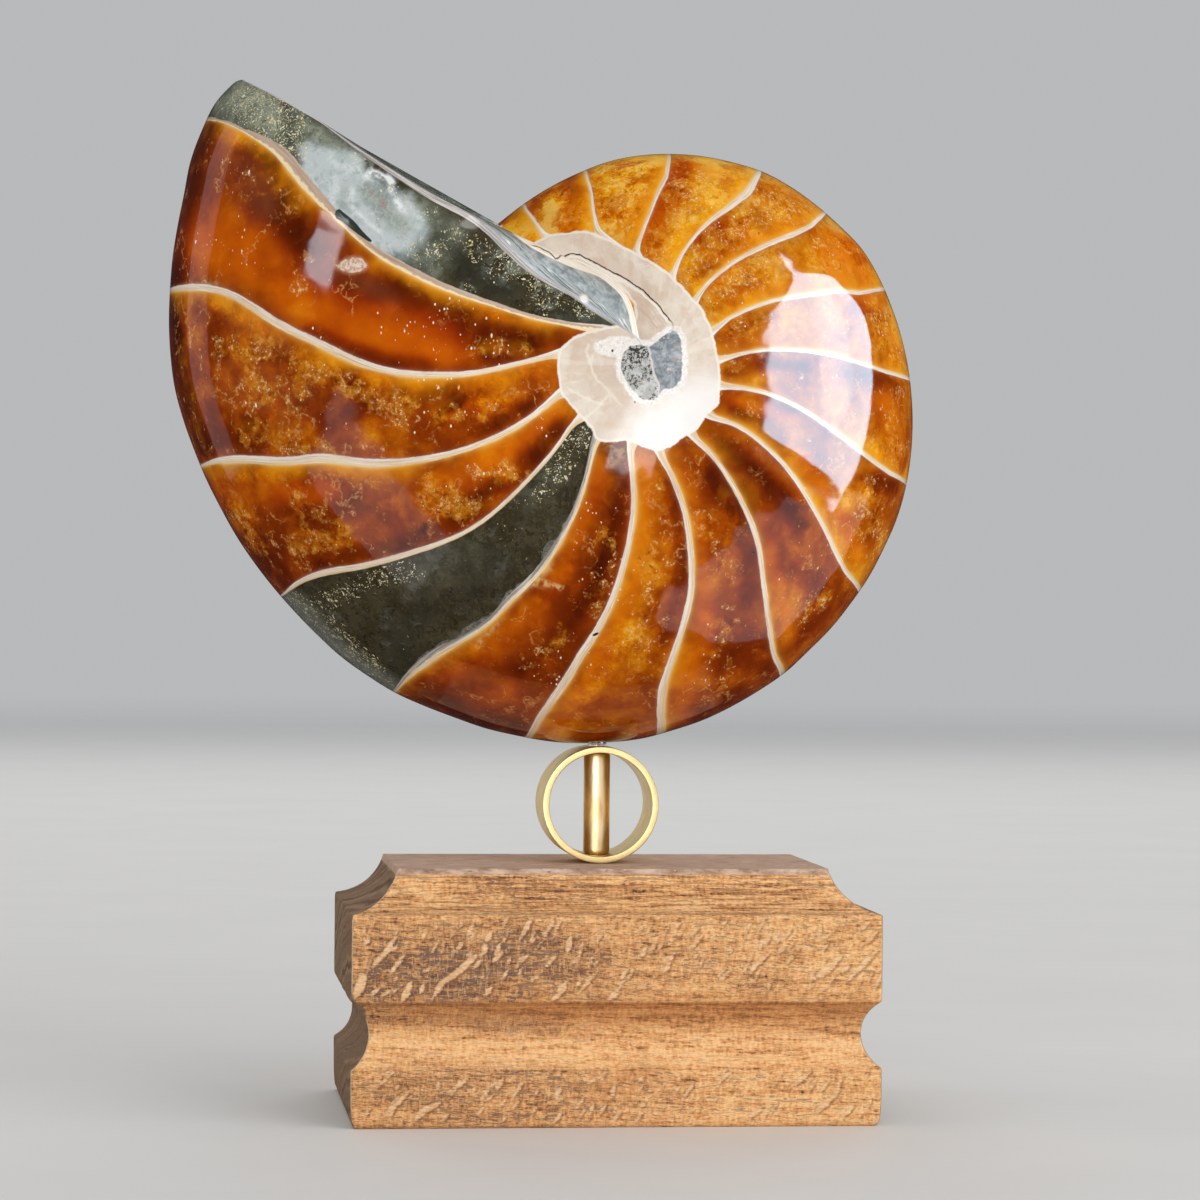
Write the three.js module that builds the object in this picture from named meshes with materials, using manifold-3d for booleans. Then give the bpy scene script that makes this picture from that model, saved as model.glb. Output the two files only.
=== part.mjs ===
// Polished fossil nautilus on a small stand.
// The fossil is one solid piece of stone. It stands on a stud that rises out of a
// short length of brass tube set on edge, and a brass rod ties the tube to a
// moulded oak block. Millimetres, +Z up, +X to the fossil's younger-whorl side,
// -Y towards the viewer. The origin is the centre of the oak block's underside.

import * as THREE from 'three';
import { mergeVertices } from 'three/addons/utils/BufferGeometryUtils.js';
import Module from 'manifold-3d';

const wasm = await Module();
wasm.setup();

// ---------------------------------------------------------------- dimensions
const BASE_W = 80.3;            // oak block, along X
const BASE_D = 50.4;            // oak block, along Y
const BASE_H = 38.3;            // oak block, along Z
const COVE_IN = 7.2;            // cove round the top: how far in
const COVE_DOWN = 6.5;          // cove round the top: how far down
const COVE_SAG = 1.5;           // cove: depth of the hollow behind its chord
const GROOVE_LO = 8.7;          // scotia groove all round: lower edge
const GROOVE_HI = 18.7;         // scotia groove all round: upper edge
const GROOVE_SAG = 2.75;        // scotia groove: depth
const FOOT_EASE = 2.6;          // height of the eased bottom arris

const STEM_X = -0.7;            // the drilled hole is a little left of centre
const RING_R = 9.0;             // brass tube, outer radius
const RING_WALL = 1.0;
const RING_LEN = 12.0;          // along Y
const RING_GAP = 0.05;          // tube to block, and the line it stands on
const ROD_R = 2.05;
const ROD_DEPTH = 12.0;         // rod in the block
const STUD_R = 1.5;
const STUD_IN = 12.0;           // stud in the fossil
const CLEAR = 0.3;              // between a piece and the hole that it sits in

const HALF_APERTURE = 30.9;     // half thickness of the last whorl at the cut aperture
const HALF_NAVEL = 22.5;        // half thickness at the umbilicus
const GROWTH = 0.62;            // how half thickness follows the whorl's radius

// Outline of the fossil in its plane of symmetry, [x, z], from where the older
// whorl leaves the aperture, round the venter, to the tip of the aperture.
const OUTLINE = [
  [-17.06, 137.26], [-13.16, 140.37], [-9.00, 143.13], [-4.57, 145.43], [0.05, 147.30],
  [4.90, 148.37], [9.87, 148.72], [14.84, 148.48], [19.71, 147.60], [24.48, 146.21],
  [28.90, 143.94], [32.97, 141.14], [36.75, 137.92], [40.24, 134.41], [42.87, 130.22],
  [44.93, 125.72], [46.55, 121.05], [47.70, 116.22], [48.36, 111.32], [48.55, 106.38],
  [48.25, 101.42], [47.43, 96.54], [46.04, 91.76], [44.04, 87.23], [41.74, 82.83],
  [38.94, 78.73], [35.85, 74.83], [32.37, 71.31], [28.73, 67.91], [24.64, 65.07],
  [20.36, 62.56], [15.86, 60.40], [11.15, 58.79], [6.36, 57.48], [1.41, 56.86],
  [-3.58, 56.67], [-8.55, 56.98], [-13.46, 57.84], [-18.33, 58.96], [-23.04, 60.57],
  [-27.70, 62.32], [-32.27, 64.34], [-36.54, 66.93], [-40.61, 69.80], [-44.32, 73.13],
  [-47.83, 76.67], [-51.16, 80.38], [-54.24, 84.30], [-57.05, 88.41], [-59.51, 92.76],
  [-61.78, 97.20], [-63.70, 101.79], [-65.41, 106.48], [-66.71, 111.29], [-67.38, 116.23],
  [-67.65, 121.21], [-67.54, 126.19], [-67.18, 131.17], [-66.45, 136.11], [-65.52, 140.99],
  [-64.61, 145.90], [-62.96, 150.62], [-60.81, 155.11], [-57.51, 158.81],
];
const NAVEL = [4.52, 114.05];   // centre of the umbilicus

// Lip of the last whorl, from the umbilicus to the tip.
const LIP = [
  [4.52, 114.05], [2.18, 118.21], [-1.69, 120.69], [-5.16, 122.74], [-7.55, 124.37],
  [-12.68, 127.24], [-17.40, 131.04], [-20.70, 134.09], [-23.32, 135.94], [-29.00, 138.89],
  [-34.60, 142.37], [-40.19, 146.12], [-45.75, 150.41], [-50.96, 153.90], [-55.78, 157.19],
  [-57.51, 158.81],
];
// Where the lip's foot meets the flank of the older whorl.
const FOOT = [
  [4.52, 114.05], [2.88, 117.51], [2.28, 120.57], [1.68, 123.53], [0.63, 125.72],
  [-0.83, 127.12], [-2.65, 128.52], [-5.46, 129.34], [-7.70, 129.96], [-11.04, 131.20],
  [-14.15, 132.72], [-16.87, 135.30], [-17.06, 137.26],
];

const SPOKES = 60;              // round the venter
const LIP_STEPS = 6;            // across the cut aperture
const RINGS = 20;               // umbilicus to venter

// ---------------------------------------------------------------- helpers
const smooth = (x) => { const c = Math.min(1, Math.max(0, x)); return c * c * (3 - 2 * c); };

// A plane curve through points, read by its share of arc length.
function curve(points) {
  const c = new THREE.CatmullRomCurve3(points.map(([x, z]) => new THREE.Vector3(x, 0, z)), false, 'centripetal');
  c.arcLengthDivisions = 1200;
  return (u) => { const p = c.getPointAt(Math.min(1, Math.max(0, u))); return [p.x, p.z]; };
}

// A closed triangle mesh as a manifold solid.
function solid(geometry) {
  let g = geometry.clone();
  g.deleteAttribute('normal');
  g.deleteAttribute('uv');
  g = mergeVertices(g, 1e-4);
  return new wasm.Manifold(new wasm.Mesh({
    numProp: 3,
    vertProperties: new Float32Array(g.attributes.position.array),
    triVerts: new Uint32Array(g.index.array),
  }));
}

// A manifold solid as a three.js geometry.
function geometryOf(manifold) {
  const m = manifold.getMesh();
  const g = new THREE.BufferGeometry();
  const n = m.vertProperties.length / m.numProp;
  const p = new Float32Array(n * 3);
  for (let i = 0; i < n; i++) for (let k = 0; k < 3; k++) p[3 * i + k] = m.vertProperties[i * m.numProp + k];
  g.setAttribute('position', new THREE.BufferAttribute(p, 3));
  g.setIndex(new THREE.BufferAttribute(new Uint32Array(m.triVerts), 1));
  g.computeVertexNormals();
  return g;
}

// An upright cylinder from z0 to z1.
function upright(r, x, z0, z1, sides) {
  const g = new THREE.CylinderGeometry(r, r, z1 - z0, sides);
  g.rotateX(Math.PI / 2);
  g.translate(x, 0, (z0 + z1) / 2);
  return g;
}

// Points on a circular arc between a and b that sags to the left of a->b.
function arc(a, b, sag, steps) {
  const dx = b[0] - a[0], dz = b[1] - a[1], c = Math.hypot(dx, dz);
  const r = (c * c) / (8 * sag) + sag / 2;
  const nx = -dz / c, nz = dx / c;
  const mx = (a[0] + b[0]) / 2 + nx * (sag - r), mz = (a[1] + b[1]) / 2 + nz * (sag - r);
  const half = Math.asin(c / (2 * r));
  const out = [];
  for (let i = 0; i <= steps; i++) {
    const t = -half + (2 * half * i) / steps;
    const s = Math.sin(t), k = Math.cos(t);
    out.push([mx + r * (nx * k + (dx / c) * s), mz + r * (nz * k + (dz / c) * s)]);
  }
  return out;
}

// ---------------------------------------------------------------- fossil
// The flank is a fan of sections from the umbilicus to the venter. Each section
// is flat-topped near the umbilicus and rounds over to the plane of symmetry. The
// last section is the lip, the first is the flank of the older whorl, and the cut
// aperture closes the step between them.
const outline = curve(OUTLINE), lip = curve(LIP), foot = curve(FOOT);
const lipRadius = Math.hypot(OUTLINE.at(-1)[0] - NAVEL[0], OUTLINE.at(-1)[1] - NAVEL[1]);
const along = (a, b, t) => [a[0] + (b[0] - a[0]) * t, a[1] + (b[1] - a[1]) * t];

function half(radius, t) {
  const whorl = HALF_APERTURE * (radius / lipRadius) ** GROWTH;
  const h = smooth(t / 0.6);
  return (HALF_NAVEL * (1 - h) + whorl * h) * (1 - Math.min(1, t) ** 2.5) ** (1 / 2.05);
}

// Point of the flank at share u of the outline and share t of the section: [x, z, half thickness].
function flank(u, t) {
  const end = outline(u);
  const p = along(NAVEL, end, t);
  const toLip = smooth(1 - (1 - u) / 0.16), toFoot = smooth(1 - u / 0.13);
  const a = lip(t), a0 = along(NAVEL, OUTLINE.at(-1), t);
  const b = foot(t), b0 = along(NAVEL, OUTLINE[0], t);
  p[0] += (a[0] - a0[0]) * toLip + (b[0] - b0[0]) * toFoot;
  p[1] += (a[1] - a0[1]) * toLip + (b[1] - b0[1]) * toFoot;
  return [p[0], p[1], half(Math.hypot(end[0] - NAVEL[0], end[1] - NAVEL[1]), t)];
}

function fossilGeometry() {
  const rows = [];
  const shares = Array.from({ length: RINGS + 1 }, (_, j) => Math.sin((j / RINGS) * Math.PI / 2));
  for (let i = 0; i <= SPOKES; i++) rows.push(shares.map((t) => flank(i / SPOKES, t)));
  const first = rows[0], last = rows[SPOKES];
  for (let k = 1; k < LIP_STEPS; k++) {
    const c = k / LIP_STEPS;
    rows.push(shares.map((_, j) => first[j].map((v, n) => last[j][n] * (1 - c) + v * c)));
  }
  const count = rows.length, inner = RINGS - 1;
  const position = [];
  for (const side of [-1, 1]) {
    for (const row of rows) for (let j = 1; j <= inner; j++) position.push(row[j][0], side * row[j][2], row[j][1]);
  }
  const rim = position.length / 3;
  for (const row of rows) position.push(row[RINGS][0], 0, row[RINGS][1]);
  const navel = position.length / 3;
  position.push(NAVEL[0], -HALF_NAVEL, NAVEL[1], NAVEL[0], HALF_NAVEL, NAVEL[1]);
  const at = (side, i, j) => (j === RINGS ? rim + (i % count) : side * count * inner + (i % count) * inner + j - 1);
  const index = [];
  for (const side of [0, 1]) {
    const tri = (a, b, c) => (side ? index.push(a, c, b) : index.push(a, b, c));
    for (let i = 0; i < count; i++) {
      tri(navel + side, at(side, i + 1, 1), at(side, i, 1));
      for (let j = 1; j < RINGS; j++) {
        const a = at(side, i, j), b = at(side, i + 1, j), c = at(side, i + 1, j + 1), d = at(side, i, j + 1);
        tri(a, b, c);
        tri(a, c, d);
      }
    }
  }
  const g = new THREE.BufferGeometry();
  g.setAttribute('position', new THREE.Float32BufferAttribute(position, 3));
  g.setIndex(index);
  return g;
}

const RING_Z = BASE_H + RING_GAP + RING_R;                 // centre of the tube
const RING_IN = RING_R - RING_WALL;
const ringTop = RING_Z + RING_R;
let fossilSolid = solid(fossilGeometry());
if (fossilSolid.volume() < 0) throw new Error('fossil is inside out');
fossilSolid = fossilSolid.subtract(solid(upright(STUD_R + CLEAR, STEM_X, ringTop - 2, ringTop + STUD_IN + CLEAR, 24)));

// ---------------------------------------------------------------- oak block
// One moulded profile runs round all four sides and is mitred at the corners.
const profile = [
  [1.0, 0], [0.45, 0.7], [0.12, 1.6], [0, FOOT_EASE],
  ...arc([0, GROOVE_LO], [0, GROOVE_HI], -GROOVE_SAG, 12),
  ...arc([0, BASE_H - COVE_DOWN], [COVE_IN, BASE_H], -COVE_SAG, 8),
];
function blockGeometry() {
  const position = [], index = [];
  for (const [inset, z] of profile) {
    const a = BASE_W / 2 - inset, b = BASE_D / 2 - inset;
    position.push(-a, -b, z, a, -b, z, a, b, z, -a, b, z);
  }
  const n = profile.length;
  for (let i = 0; i + 1 < n; i++) {
    for (let k = 0; k < 4; k++) {
      const a = 4 * i + k, b = 4 * i + (k + 1) % 4;
      index.push(a, b, b + 4, a, b + 4, a + 4);
    }
  }
  const top = 4 * (n - 1);
  index.push(0, 2, 1, 0, 3, 2, top, top + 1, top + 2, top, top + 2, top + 3);
  const g = new THREE.BufferGeometry();
  g.setAttribute('position', new THREE.Float32BufferAttribute(position, 3));
  g.setIndex(index);
  return g;
}
const blockSolid = solid(blockGeometry())
  .subtract(solid(upright(ROD_R + CLEAR, STEM_X, BASE_H - ROD_DEPTH - CLEAR, BASE_H + 1, 28)));

// ---------------------------------------------------------------- brass tube, rod and stud
const edge = 0.15;                                          // broken arris of the sawn tube
const tube = new THREE.LatheGeometry([
  [RING_IN + edge, -RING_LEN / 2], [RING_R - edge, -RING_LEN / 2], [RING_R, -RING_LEN / 2 + edge],
  [RING_R, RING_LEN / 2 - edge], [RING_R - edge, RING_LEN / 2], [RING_IN + edge, RING_LEN / 2],
  [RING_IN, RING_LEN / 2 - edge], [RING_IN, -RING_LEN / 2 + edge], [RING_IN + edge, -RING_LEN / 2],
].map(([r, y]) => new THREE.Vector2(r, y)), 64);
tube.translate(STEM_X, 0, RING_Z);
let tubeSolid = solid(tube);
tubeSolid = tubeSolid
  .subtract(solid(upright(ROD_R + CLEAR, STEM_X, RING_Z - RING_R - 1, RING_Z - RING_IN + 1.5, 28)))
  .subtract(solid(upright(STUD_R + CLEAR, STEM_X, RING_Z + RING_IN - 1, RING_Z + RING_R + 1, 24)));

const rodTop = RING_Z + Math.sqrt(RING_IN ** 2 - ROD_R ** 2) - CLEAR;
const rodGeometry = new THREE.LatheGeometry([
  [0, BASE_H - ROD_DEPTH], [ROD_R - 0.3, BASE_H - ROD_DEPTH], [ROD_R, BASE_H - ROD_DEPTH + 0.3],
  [ROD_R, rodTop], [0, rodTop],
].map(([r, z]) => new THREE.Vector2(r, z)), 28);
rodGeometry.rotateX(Math.PI / 2);
rodGeometry.translate(STEM_X, 0, 0);

const studGeometry = new THREE.LatheGeometry([
  [0, rodTop + CLEAR + 0.02], [STUD_R, rodTop + CLEAR + 0.02], [STUD_R, ringTop + STUD_IN - 0.4],
  [STUD_R - 0.4, ringTop + STUD_IN], [0, ringTop + STUD_IN],
].map(([r, z]) => new THREE.Vector2(r, z)), 24);
studGeometry.rotateX(Math.PI / 2);
studGeometry.translate(STEM_X, 0, 0);

// ---------------------------------------------------------------- scene graph
function piece(name, geometry, color, roughness, metalness) {
  const mesh = new THREE.Mesh(geometry, new THREE.MeshStandardMaterial({ color, roughness, metalness }));
  mesh.name = name;
  return mesh;
}

const stand = new THREE.Group();
stand.name = 'stand';
stand.add(
  piece('oak_base', geometryOf(blockSolid), 0xbf8d5a, 0.7, 0.0),
  piece('brass_ring', geometryOf(tubeSolid), 0xd8c488, 0.32, 1.0),
  piece('brass_rod', geometryOf(solid(rodGeometry)), 0xd8c488, 0.3, 1.0),
  piece('steel_stud', geometryOf(solid(studGeometry)), 0xc8c8c6, 0.3, 1.0),
);

const model = new THREE.Group();
model.name = 'fossil_nautilus_on_stand';
model.add(stand, piece('nautilus_fossil', geometryOf(fossilSolid), 0xb5560f, 0.12, 0.0));

export default model;
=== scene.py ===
import math

import bpy
import numpy as np
from mathutils import Matrix, Vector


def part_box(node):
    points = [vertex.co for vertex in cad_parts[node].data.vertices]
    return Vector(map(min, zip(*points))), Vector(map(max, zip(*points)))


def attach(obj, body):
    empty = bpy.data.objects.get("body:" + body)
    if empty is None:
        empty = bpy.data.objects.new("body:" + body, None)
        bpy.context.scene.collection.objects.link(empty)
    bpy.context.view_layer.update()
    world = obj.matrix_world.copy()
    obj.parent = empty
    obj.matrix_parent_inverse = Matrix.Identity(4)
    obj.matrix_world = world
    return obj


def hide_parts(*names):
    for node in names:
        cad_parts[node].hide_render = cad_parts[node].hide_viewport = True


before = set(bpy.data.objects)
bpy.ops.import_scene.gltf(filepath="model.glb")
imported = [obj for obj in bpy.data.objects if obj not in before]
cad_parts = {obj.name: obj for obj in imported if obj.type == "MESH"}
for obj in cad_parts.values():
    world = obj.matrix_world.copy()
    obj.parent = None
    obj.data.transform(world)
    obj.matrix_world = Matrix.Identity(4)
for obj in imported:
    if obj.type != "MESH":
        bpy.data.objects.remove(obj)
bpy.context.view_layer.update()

RNG = np.random.default_rng(20)

# ------------------------------------------------------------------ traced shapes
# Lines on the fossil's front, in millimetres [x, z] unless a line says otherwise.
SEPTA = [   # name, [share of section, share of outline, half width in mm]
    ('A', [(0.997, 0.9744, 0.25), (0.956, 0.9768, 0.35), (0.916, 0.9754, 0.38), (0.877, 0.9750, 0.70), (0.838, 0.9730, 0.98), (0.803, 0.9684, 1.10), (0.769, 0.9632, 1.02), (0.734, 0.9586, 0.93), (0.699, 0.9538, 0.70), (0.667, 0.9475, 0.54), (0.633, 0.9418, 0.55), (0.599, 0.9366, 0.65), (0.561, 0.9333, 0.67), (0.524, 0.9300, 0.66), (0.486, 0.9256, 0.64), (0.447, 0.9236, 0.57), (0.406, 0.9239, 0.51), (0.365, 0.9265, 0.47), (0.323, 0.9288, 0.45), (0.282, 0.9310, 0.40), (0.242, 0.9328, 0.37), (0.202, 0.9390, 0.36), (0.162, 0.9498, 0.33), (0.126, 0.9699, 0.31)]),
    ('B', [(0.998, 0.8879, 0.39), (0.956, 0.8897, 0.63), (0.914, 0.8900, 0.61), (0.873, 0.8880, 0.61), (0.836, 0.8830, 0.66), (0.800, 0.8772, 0.67), (0.764, 0.8715, 0.67), (0.726, 0.8669, 0.66), (0.688, 0.8615, 0.65), (0.652, 0.8552, 0.63), (0.615, 0.8491, 0.61), (0.576, 0.8436, 0.59), (0.535, 0.8397, 0.57), (0.493, 0.8376, 0.55), (0.450, 0.8363, 0.52), (0.406, 0.8359, 0.50), (0.361, 0.8386, 0.46), (0.317, 0.8448, 0.43), (0.272, 0.8532, 0.42), (0.229, 0.8649, 0.41), (0.188, 0.8814, 0.41)]),
    ('C', [(0.998, 0.7997, 0.24), (0.957, 0.8000, 0.58), (0.917, 0.7979, 0.67), (0.878, 0.7947, 0.69), (0.840, 0.7909, 0.69), (0.800, 0.7887, 0.73), (0.759, 0.7870, 0.78), (0.722, 0.7817, 0.77), (0.687, 0.7756, 0.75), (0.648, 0.7707, 0.70), (0.609, 0.7662, 0.64), (0.568, 0.7621, 0.58), (0.526, 0.7584, 0.52), (0.483, 0.7555, 0.49), (0.439, 0.7534, 0.48), (0.394, 0.7528, 0.47), (0.347, 0.7543, 0.47), (0.301, 0.7590, 0.47), (0.255, 0.7693, 0.47), (0.211, 0.7870, 0.47)]),
    ('D', [(1.000, 0.7244, 0.19), (0.956, 0.7266, 0.41), (0.911, 0.7253, 0.52), (0.869, 0.7217, 0.54), (0.831, 0.7166, 0.51), (0.789, 0.7121, 0.49), (0.747, 0.7077, 0.48), (0.704, 0.7030, 0.45), (0.662, 0.6980, 0.42), (0.618, 0.6933, 0.39), (0.572, 0.6894, 0.36), (0.525, 0.6876, 0.35), (0.476, 0.6872, 0.34), (0.427, 0.6880, 0.34), (0.378, 0.6899, 0.34), (0.328, 0.6928, 0.34), (0.278, 0.6998, 0.34), (0.230, 0.7131, 0.34)]),
    ('E', [(0.998, 0.6513, 0.28), (0.949, 0.6528, 0.56), (0.902, 0.6506, 0.90), (0.856, 0.6480, 0.79), (0.816, 0.6424, 0.52), (0.774, 0.6372, 0.50), (0.728, 0.6332, 0.53), (0.678, 0.6315, 0.63), (0.631, 0.6275, 0.64), (0.584, 0.6234, 0.61), (0.533, 0.6215, 0.58), (0.482, 0.6204, 0.53), (0.429, 0.6207, 0.48), (0.376, 0.6236, 0.45), (0.323, 0.6298, 0.44), (0.271, 0.6408, 0.44), (0.220, 0.6567, 0.44)]),
    ('F', [(0.998, 0.5809, 0.53), (0.948, 0.5812, 0.63), (0.897, 0.5789, 0.67), (0.847, 0.5756, 0.69), (0.796, 0.5729, 0.69), (0.746, 0.5697, 0.69), (0.699, 0.5647, 0.66), (0.648, 0.5609, 0.59), (0.597, 0.5578, 0.55), (0.544, 0.5553, 0.53), (0.491, 0.5532, 0.52), (0.437, 0.5518, 0.50), (0.382, 0.5517, 0.48), (0.327, 0.5553, 0.47), (0.272, 0.5637, 0.47), (0.219, 0.5772, 0.47)]),
    ('G', [(0.995, 0.5146, 0.71), (0.930, 0.5172, 0.74), (0.871, 0.5176, 0.78), (0.820, 0.5146, 0.63), (0.772, 0.5100, 0.57), (0.724, 0.5049, 0.55), (0.674, 0.4997, 0.59), (0.624, 0.4944, 0.57), (0.570, 0.4914, 0.55), (0.514, 0.4896, 0.53), (0.458, 0.4875, 0.51), (0.400, 0.4872, 0.49), (0.342, 0.4904, 0.47), (0.284, 0.4977, 0.44), (0.229, 0.5134, 0.44)]),
    ('H', [(0.994, 0.4462, 0.53), (0.914, 0.4499, 0.47), (0.850, 0.4480, 0.47), (0.790, 0.4451, 0.47), (0.732, 0.4412, 0.47), (0.676, 0.4364, 0.47), (0.622, 0.4304, 0.49), (0.562, 0.4261, 0.49), (0.499, 0.4235, 0.46), (0.436, 0.4211, 0.44), (0.372, 0.4201, 0.42), (0.307, 0.4213, 0.41), (0.243, 0.4319, 0.41)]),
    ('I', [(0.986, 0.3887, 0.41), (0.898, 0.3905, 0.43), (0.829, 0.3881, 0.44), (0.765, 0.3839, 0.44), (0.702, 0.3796, 0.43), (0.639, 0.3749, 0.42), (0.577, 0.3698, 0.41), (0.512, 0.3653, 0.40), (0.445, 0.3623, 0.38), (0.377, 0.3603, 0.37), (0.307, 0.3628, 0.36), (0.240, 0.3769, 0.36)]),
    ('J', [(0.996, 0.3293, 0.34), (0.895, 0.3303, 0.42), (0.816, 0.3284, 0.42), (0.743, 0.3254, 0.42), (0.672, 0.3215, 0.42), (0.603, 0.3167, 0.41), (0.534, 0.3117, 0.40), (0.464, 0.3074, 0.39), (0.391, 0.3042, 0.38), (0.316, 0.3048, 0.38), (0.241, 0.3104, 0.38)]),
    ('K', [(0.985, 0.2770, 0.31), (0.879, 0.2750, 0.34), (0.796, 0.2714, 0.34), (0.718, 0.2672, 0.34), (0.641, 0.2625, 0.34), (0.563, 0.2585, 0.34), (0.485, 0.2551, 0.34), (0.405, 0.2522, 0.33), (0.325, 0.2528, 0.32), (0.245, 0.2583, 0.31)]),
    ('L', [(0.973, 0.2291, 0.31), (0.857, 0.2275, 0.38), (0.774, 0.2216, 0.38), (0.686, 0.2177, 0.39), (0.603, 0.2126, 0.38), (0.522, 0.2066, 0.36), (0.438, 0.2022, 0.34), (0.354, 0.1984, 0.32), (0.267, 0.2019, 0.31)]),
    ('M', [(0.987, 0.1798, 0.34), (0.865, 0.1793, 0.43), (0.782, 0.1753, 0.46), (0.706, 0.1698, 0.44), (0.631, 0.1638, 0.40), (0.556, 0.1576, 0.34), (0.478, 0.1521, 0.31), (0.399, 0.1467, 0.29), (0.316, 0.1455, 0.28)]),
    ('N', [(0.968, 0.1402, 0.47), (0.850, 0.1390, 0.68), (0.761, 0.1326, 0.53), (0.680, 0.1244, 0.36), (0.593, 0.1163, 0.29), (0.496, 0.1088, 0.27), (0.393, 0.1026, 0.27)]),
    ('O', [(0.981, 0.0941, 0.28), (0.874, 0.0922, 0.33), (0.784, 0.0860, 0.31), (0.688, 0.0793, 0.27), (0.590, 0.0692, 0.25), (0.485, 0.0511, 0.25)]),
    ('P', [(0.990, 0.0510, 0.25), (0.928, 0.0517, 0.26), (0.871, 0.0501, 0.26), (0.815, 0.0470, 0.25), (0.753, 0.0432, 0.25), (0.690, 0.0386, 0.25)]),
    ('Q', [(0.977, 0.0159, 0.25), (0.943, 0.0175, 0.26), (0.913, 0.0174, 0.26), (0.883, 0.0165, 0.26), (0.852, 0.0153, 0.25), (0.821, 0.0138, 0.25)]),
]
CALLUS = [(-20.10, 134.21), (-16.60, 136.95), (-17.45, 134.05), (-16.26, 133.08), (-14.01, 132.77), (-10.93, 134.43), (-9.79, 134.91), (-7.15, 135.06), (-4.65, 135.30), (-3.38, 134.74), (-1.51, 134.02), (0.33, 133.01), (3.30, 131.41), (5.92, 129.62), (7.59, 128.27), (9.37, 126.59), (10.96, 124.71), (12.55, 122.85), (13.31, 121.11), (13.86, 119.36), (14.40, 116.85), (14.90, 113.80), (15.01, 110.81), (14.78, 108.93), (13.69, 107.62), (12.65, 106.59), (11.52, 104.93), (9.15, 103.32), (6.58, 101.62), (4.23, 101.59), (2.25, 102.26), (0.72, 102.75), (-2.54, 102.66), (-4.14, 103.12), (-4.63, 104.45), (-5.36, 105.36), (-6.24, 106.28), (-7.66, 107.85), (-9.35, 109.86), (-9.90, 112.40), (-9.89, 115.12), (-9.33, 116.64), (-7.58, 118.39), (-5.02, 119.26), (-1.96, 120.09), (-0.07, 120.49), (1.73, 120.92), (2.02, 123.41), (0.78, 125.45), (-0.87, 126.82), (-2.83, 128.17), (-6.00, 128.83), (-8.60, 129.23), (-12.12, 130.21), (-15.58, 131.19), (-18.53, 132.67)]
PLUG = [(0.21, 115.97), (0.98, 116.99), (2.55, 117.41), (4.22, 117.28), (5.44, 118.06), (6.67, 119.15), (8.13, 119.56), (8.85, 118.34), (9.08, 116.67), (9.07, 114.73), (9.06, 113.04), (8.59, 111.83), (7.65, 110.98), (6.18, 110.72), (5.44, 109.63), (4.23, 109.14), (3.02, 109.31), (1.83, 110.33), (0.88, 111.50), (0.13, 112.67), (-0.23, 114.33)]
PLUG_LINE = [(3.93, 118.19), (4.21, 115.84), (4.52, 114.05), (5.36, 111.96), (5.75, 109.17)]
CRACK = [(-14.6, 132.05), (-12.8, 131.75), (-11.2, 131.1), (-10.05, 129.95), (-9.17, 130.86), (-6.89, 131.61), (-5.69, 131.45), (-3.85, 130.42), (-1.77, 129.15), (0.98, 127.65), (3.29, 125.90), (5.57, 123.67), (6.75, 121.98), (7.68, 120.77), (7.78, 119.79)]
OVAL = [(-43.29, 128.39), (-42.45, 128.77), (-41.75, 129.33), (-40.72, 129.53), (-39.68, 129.43), (-39.02, 128.85), (-38.83, 128.06), (-39.70, 127.47), (-40.86, 127.29), (-41.88, 127.49), (-42.77, 127.91)]
WEDGE = [(-43.03, 136.86), (-41.91, 136.03), (-40.55, 134.86), (-39.21, 133.23), (-37.96, 131.99), (-38.10, 131.64), (-39.63, 132.67), (-41.21, 133.91), (-42.56, 135.09), (-43.48, 135.55)]
LENS = [(-15.58, 131.09), (-12.71, 130.87), (-9.46, 130.30), (-6.59, 129.95), (-4.28, 129.12), (-2.26, 128.54), (-0.68, 127.29), (0.62, 125.90), (1.33, 124.37), (1.68, 122.48), (1.73, 120.92), (0.58, 120.99), (-1.61, 122.13), (-3.49, 123.25), (-5.37, 124.53), (-7.53, 125.96), (-9.70, 127.23), (-11.91, 128.50), (-14.03, 129.88)]

SEAMS = [[(-4.31, 115.96), (-4.87, 114.38), (-3.82, 112.05), (-1.81, 110.13), (0.19, 107.79)], [(-8.64, 110.75), (-5.46, 109.22), (-2.62, 108.12)], [(-4.87, 114.38), (-5.58, 116.12), (-5.17, 117.49)], [(-5.97, 105.94), (-4.02, 107.60), (-1.86, 110.11)]]

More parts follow.
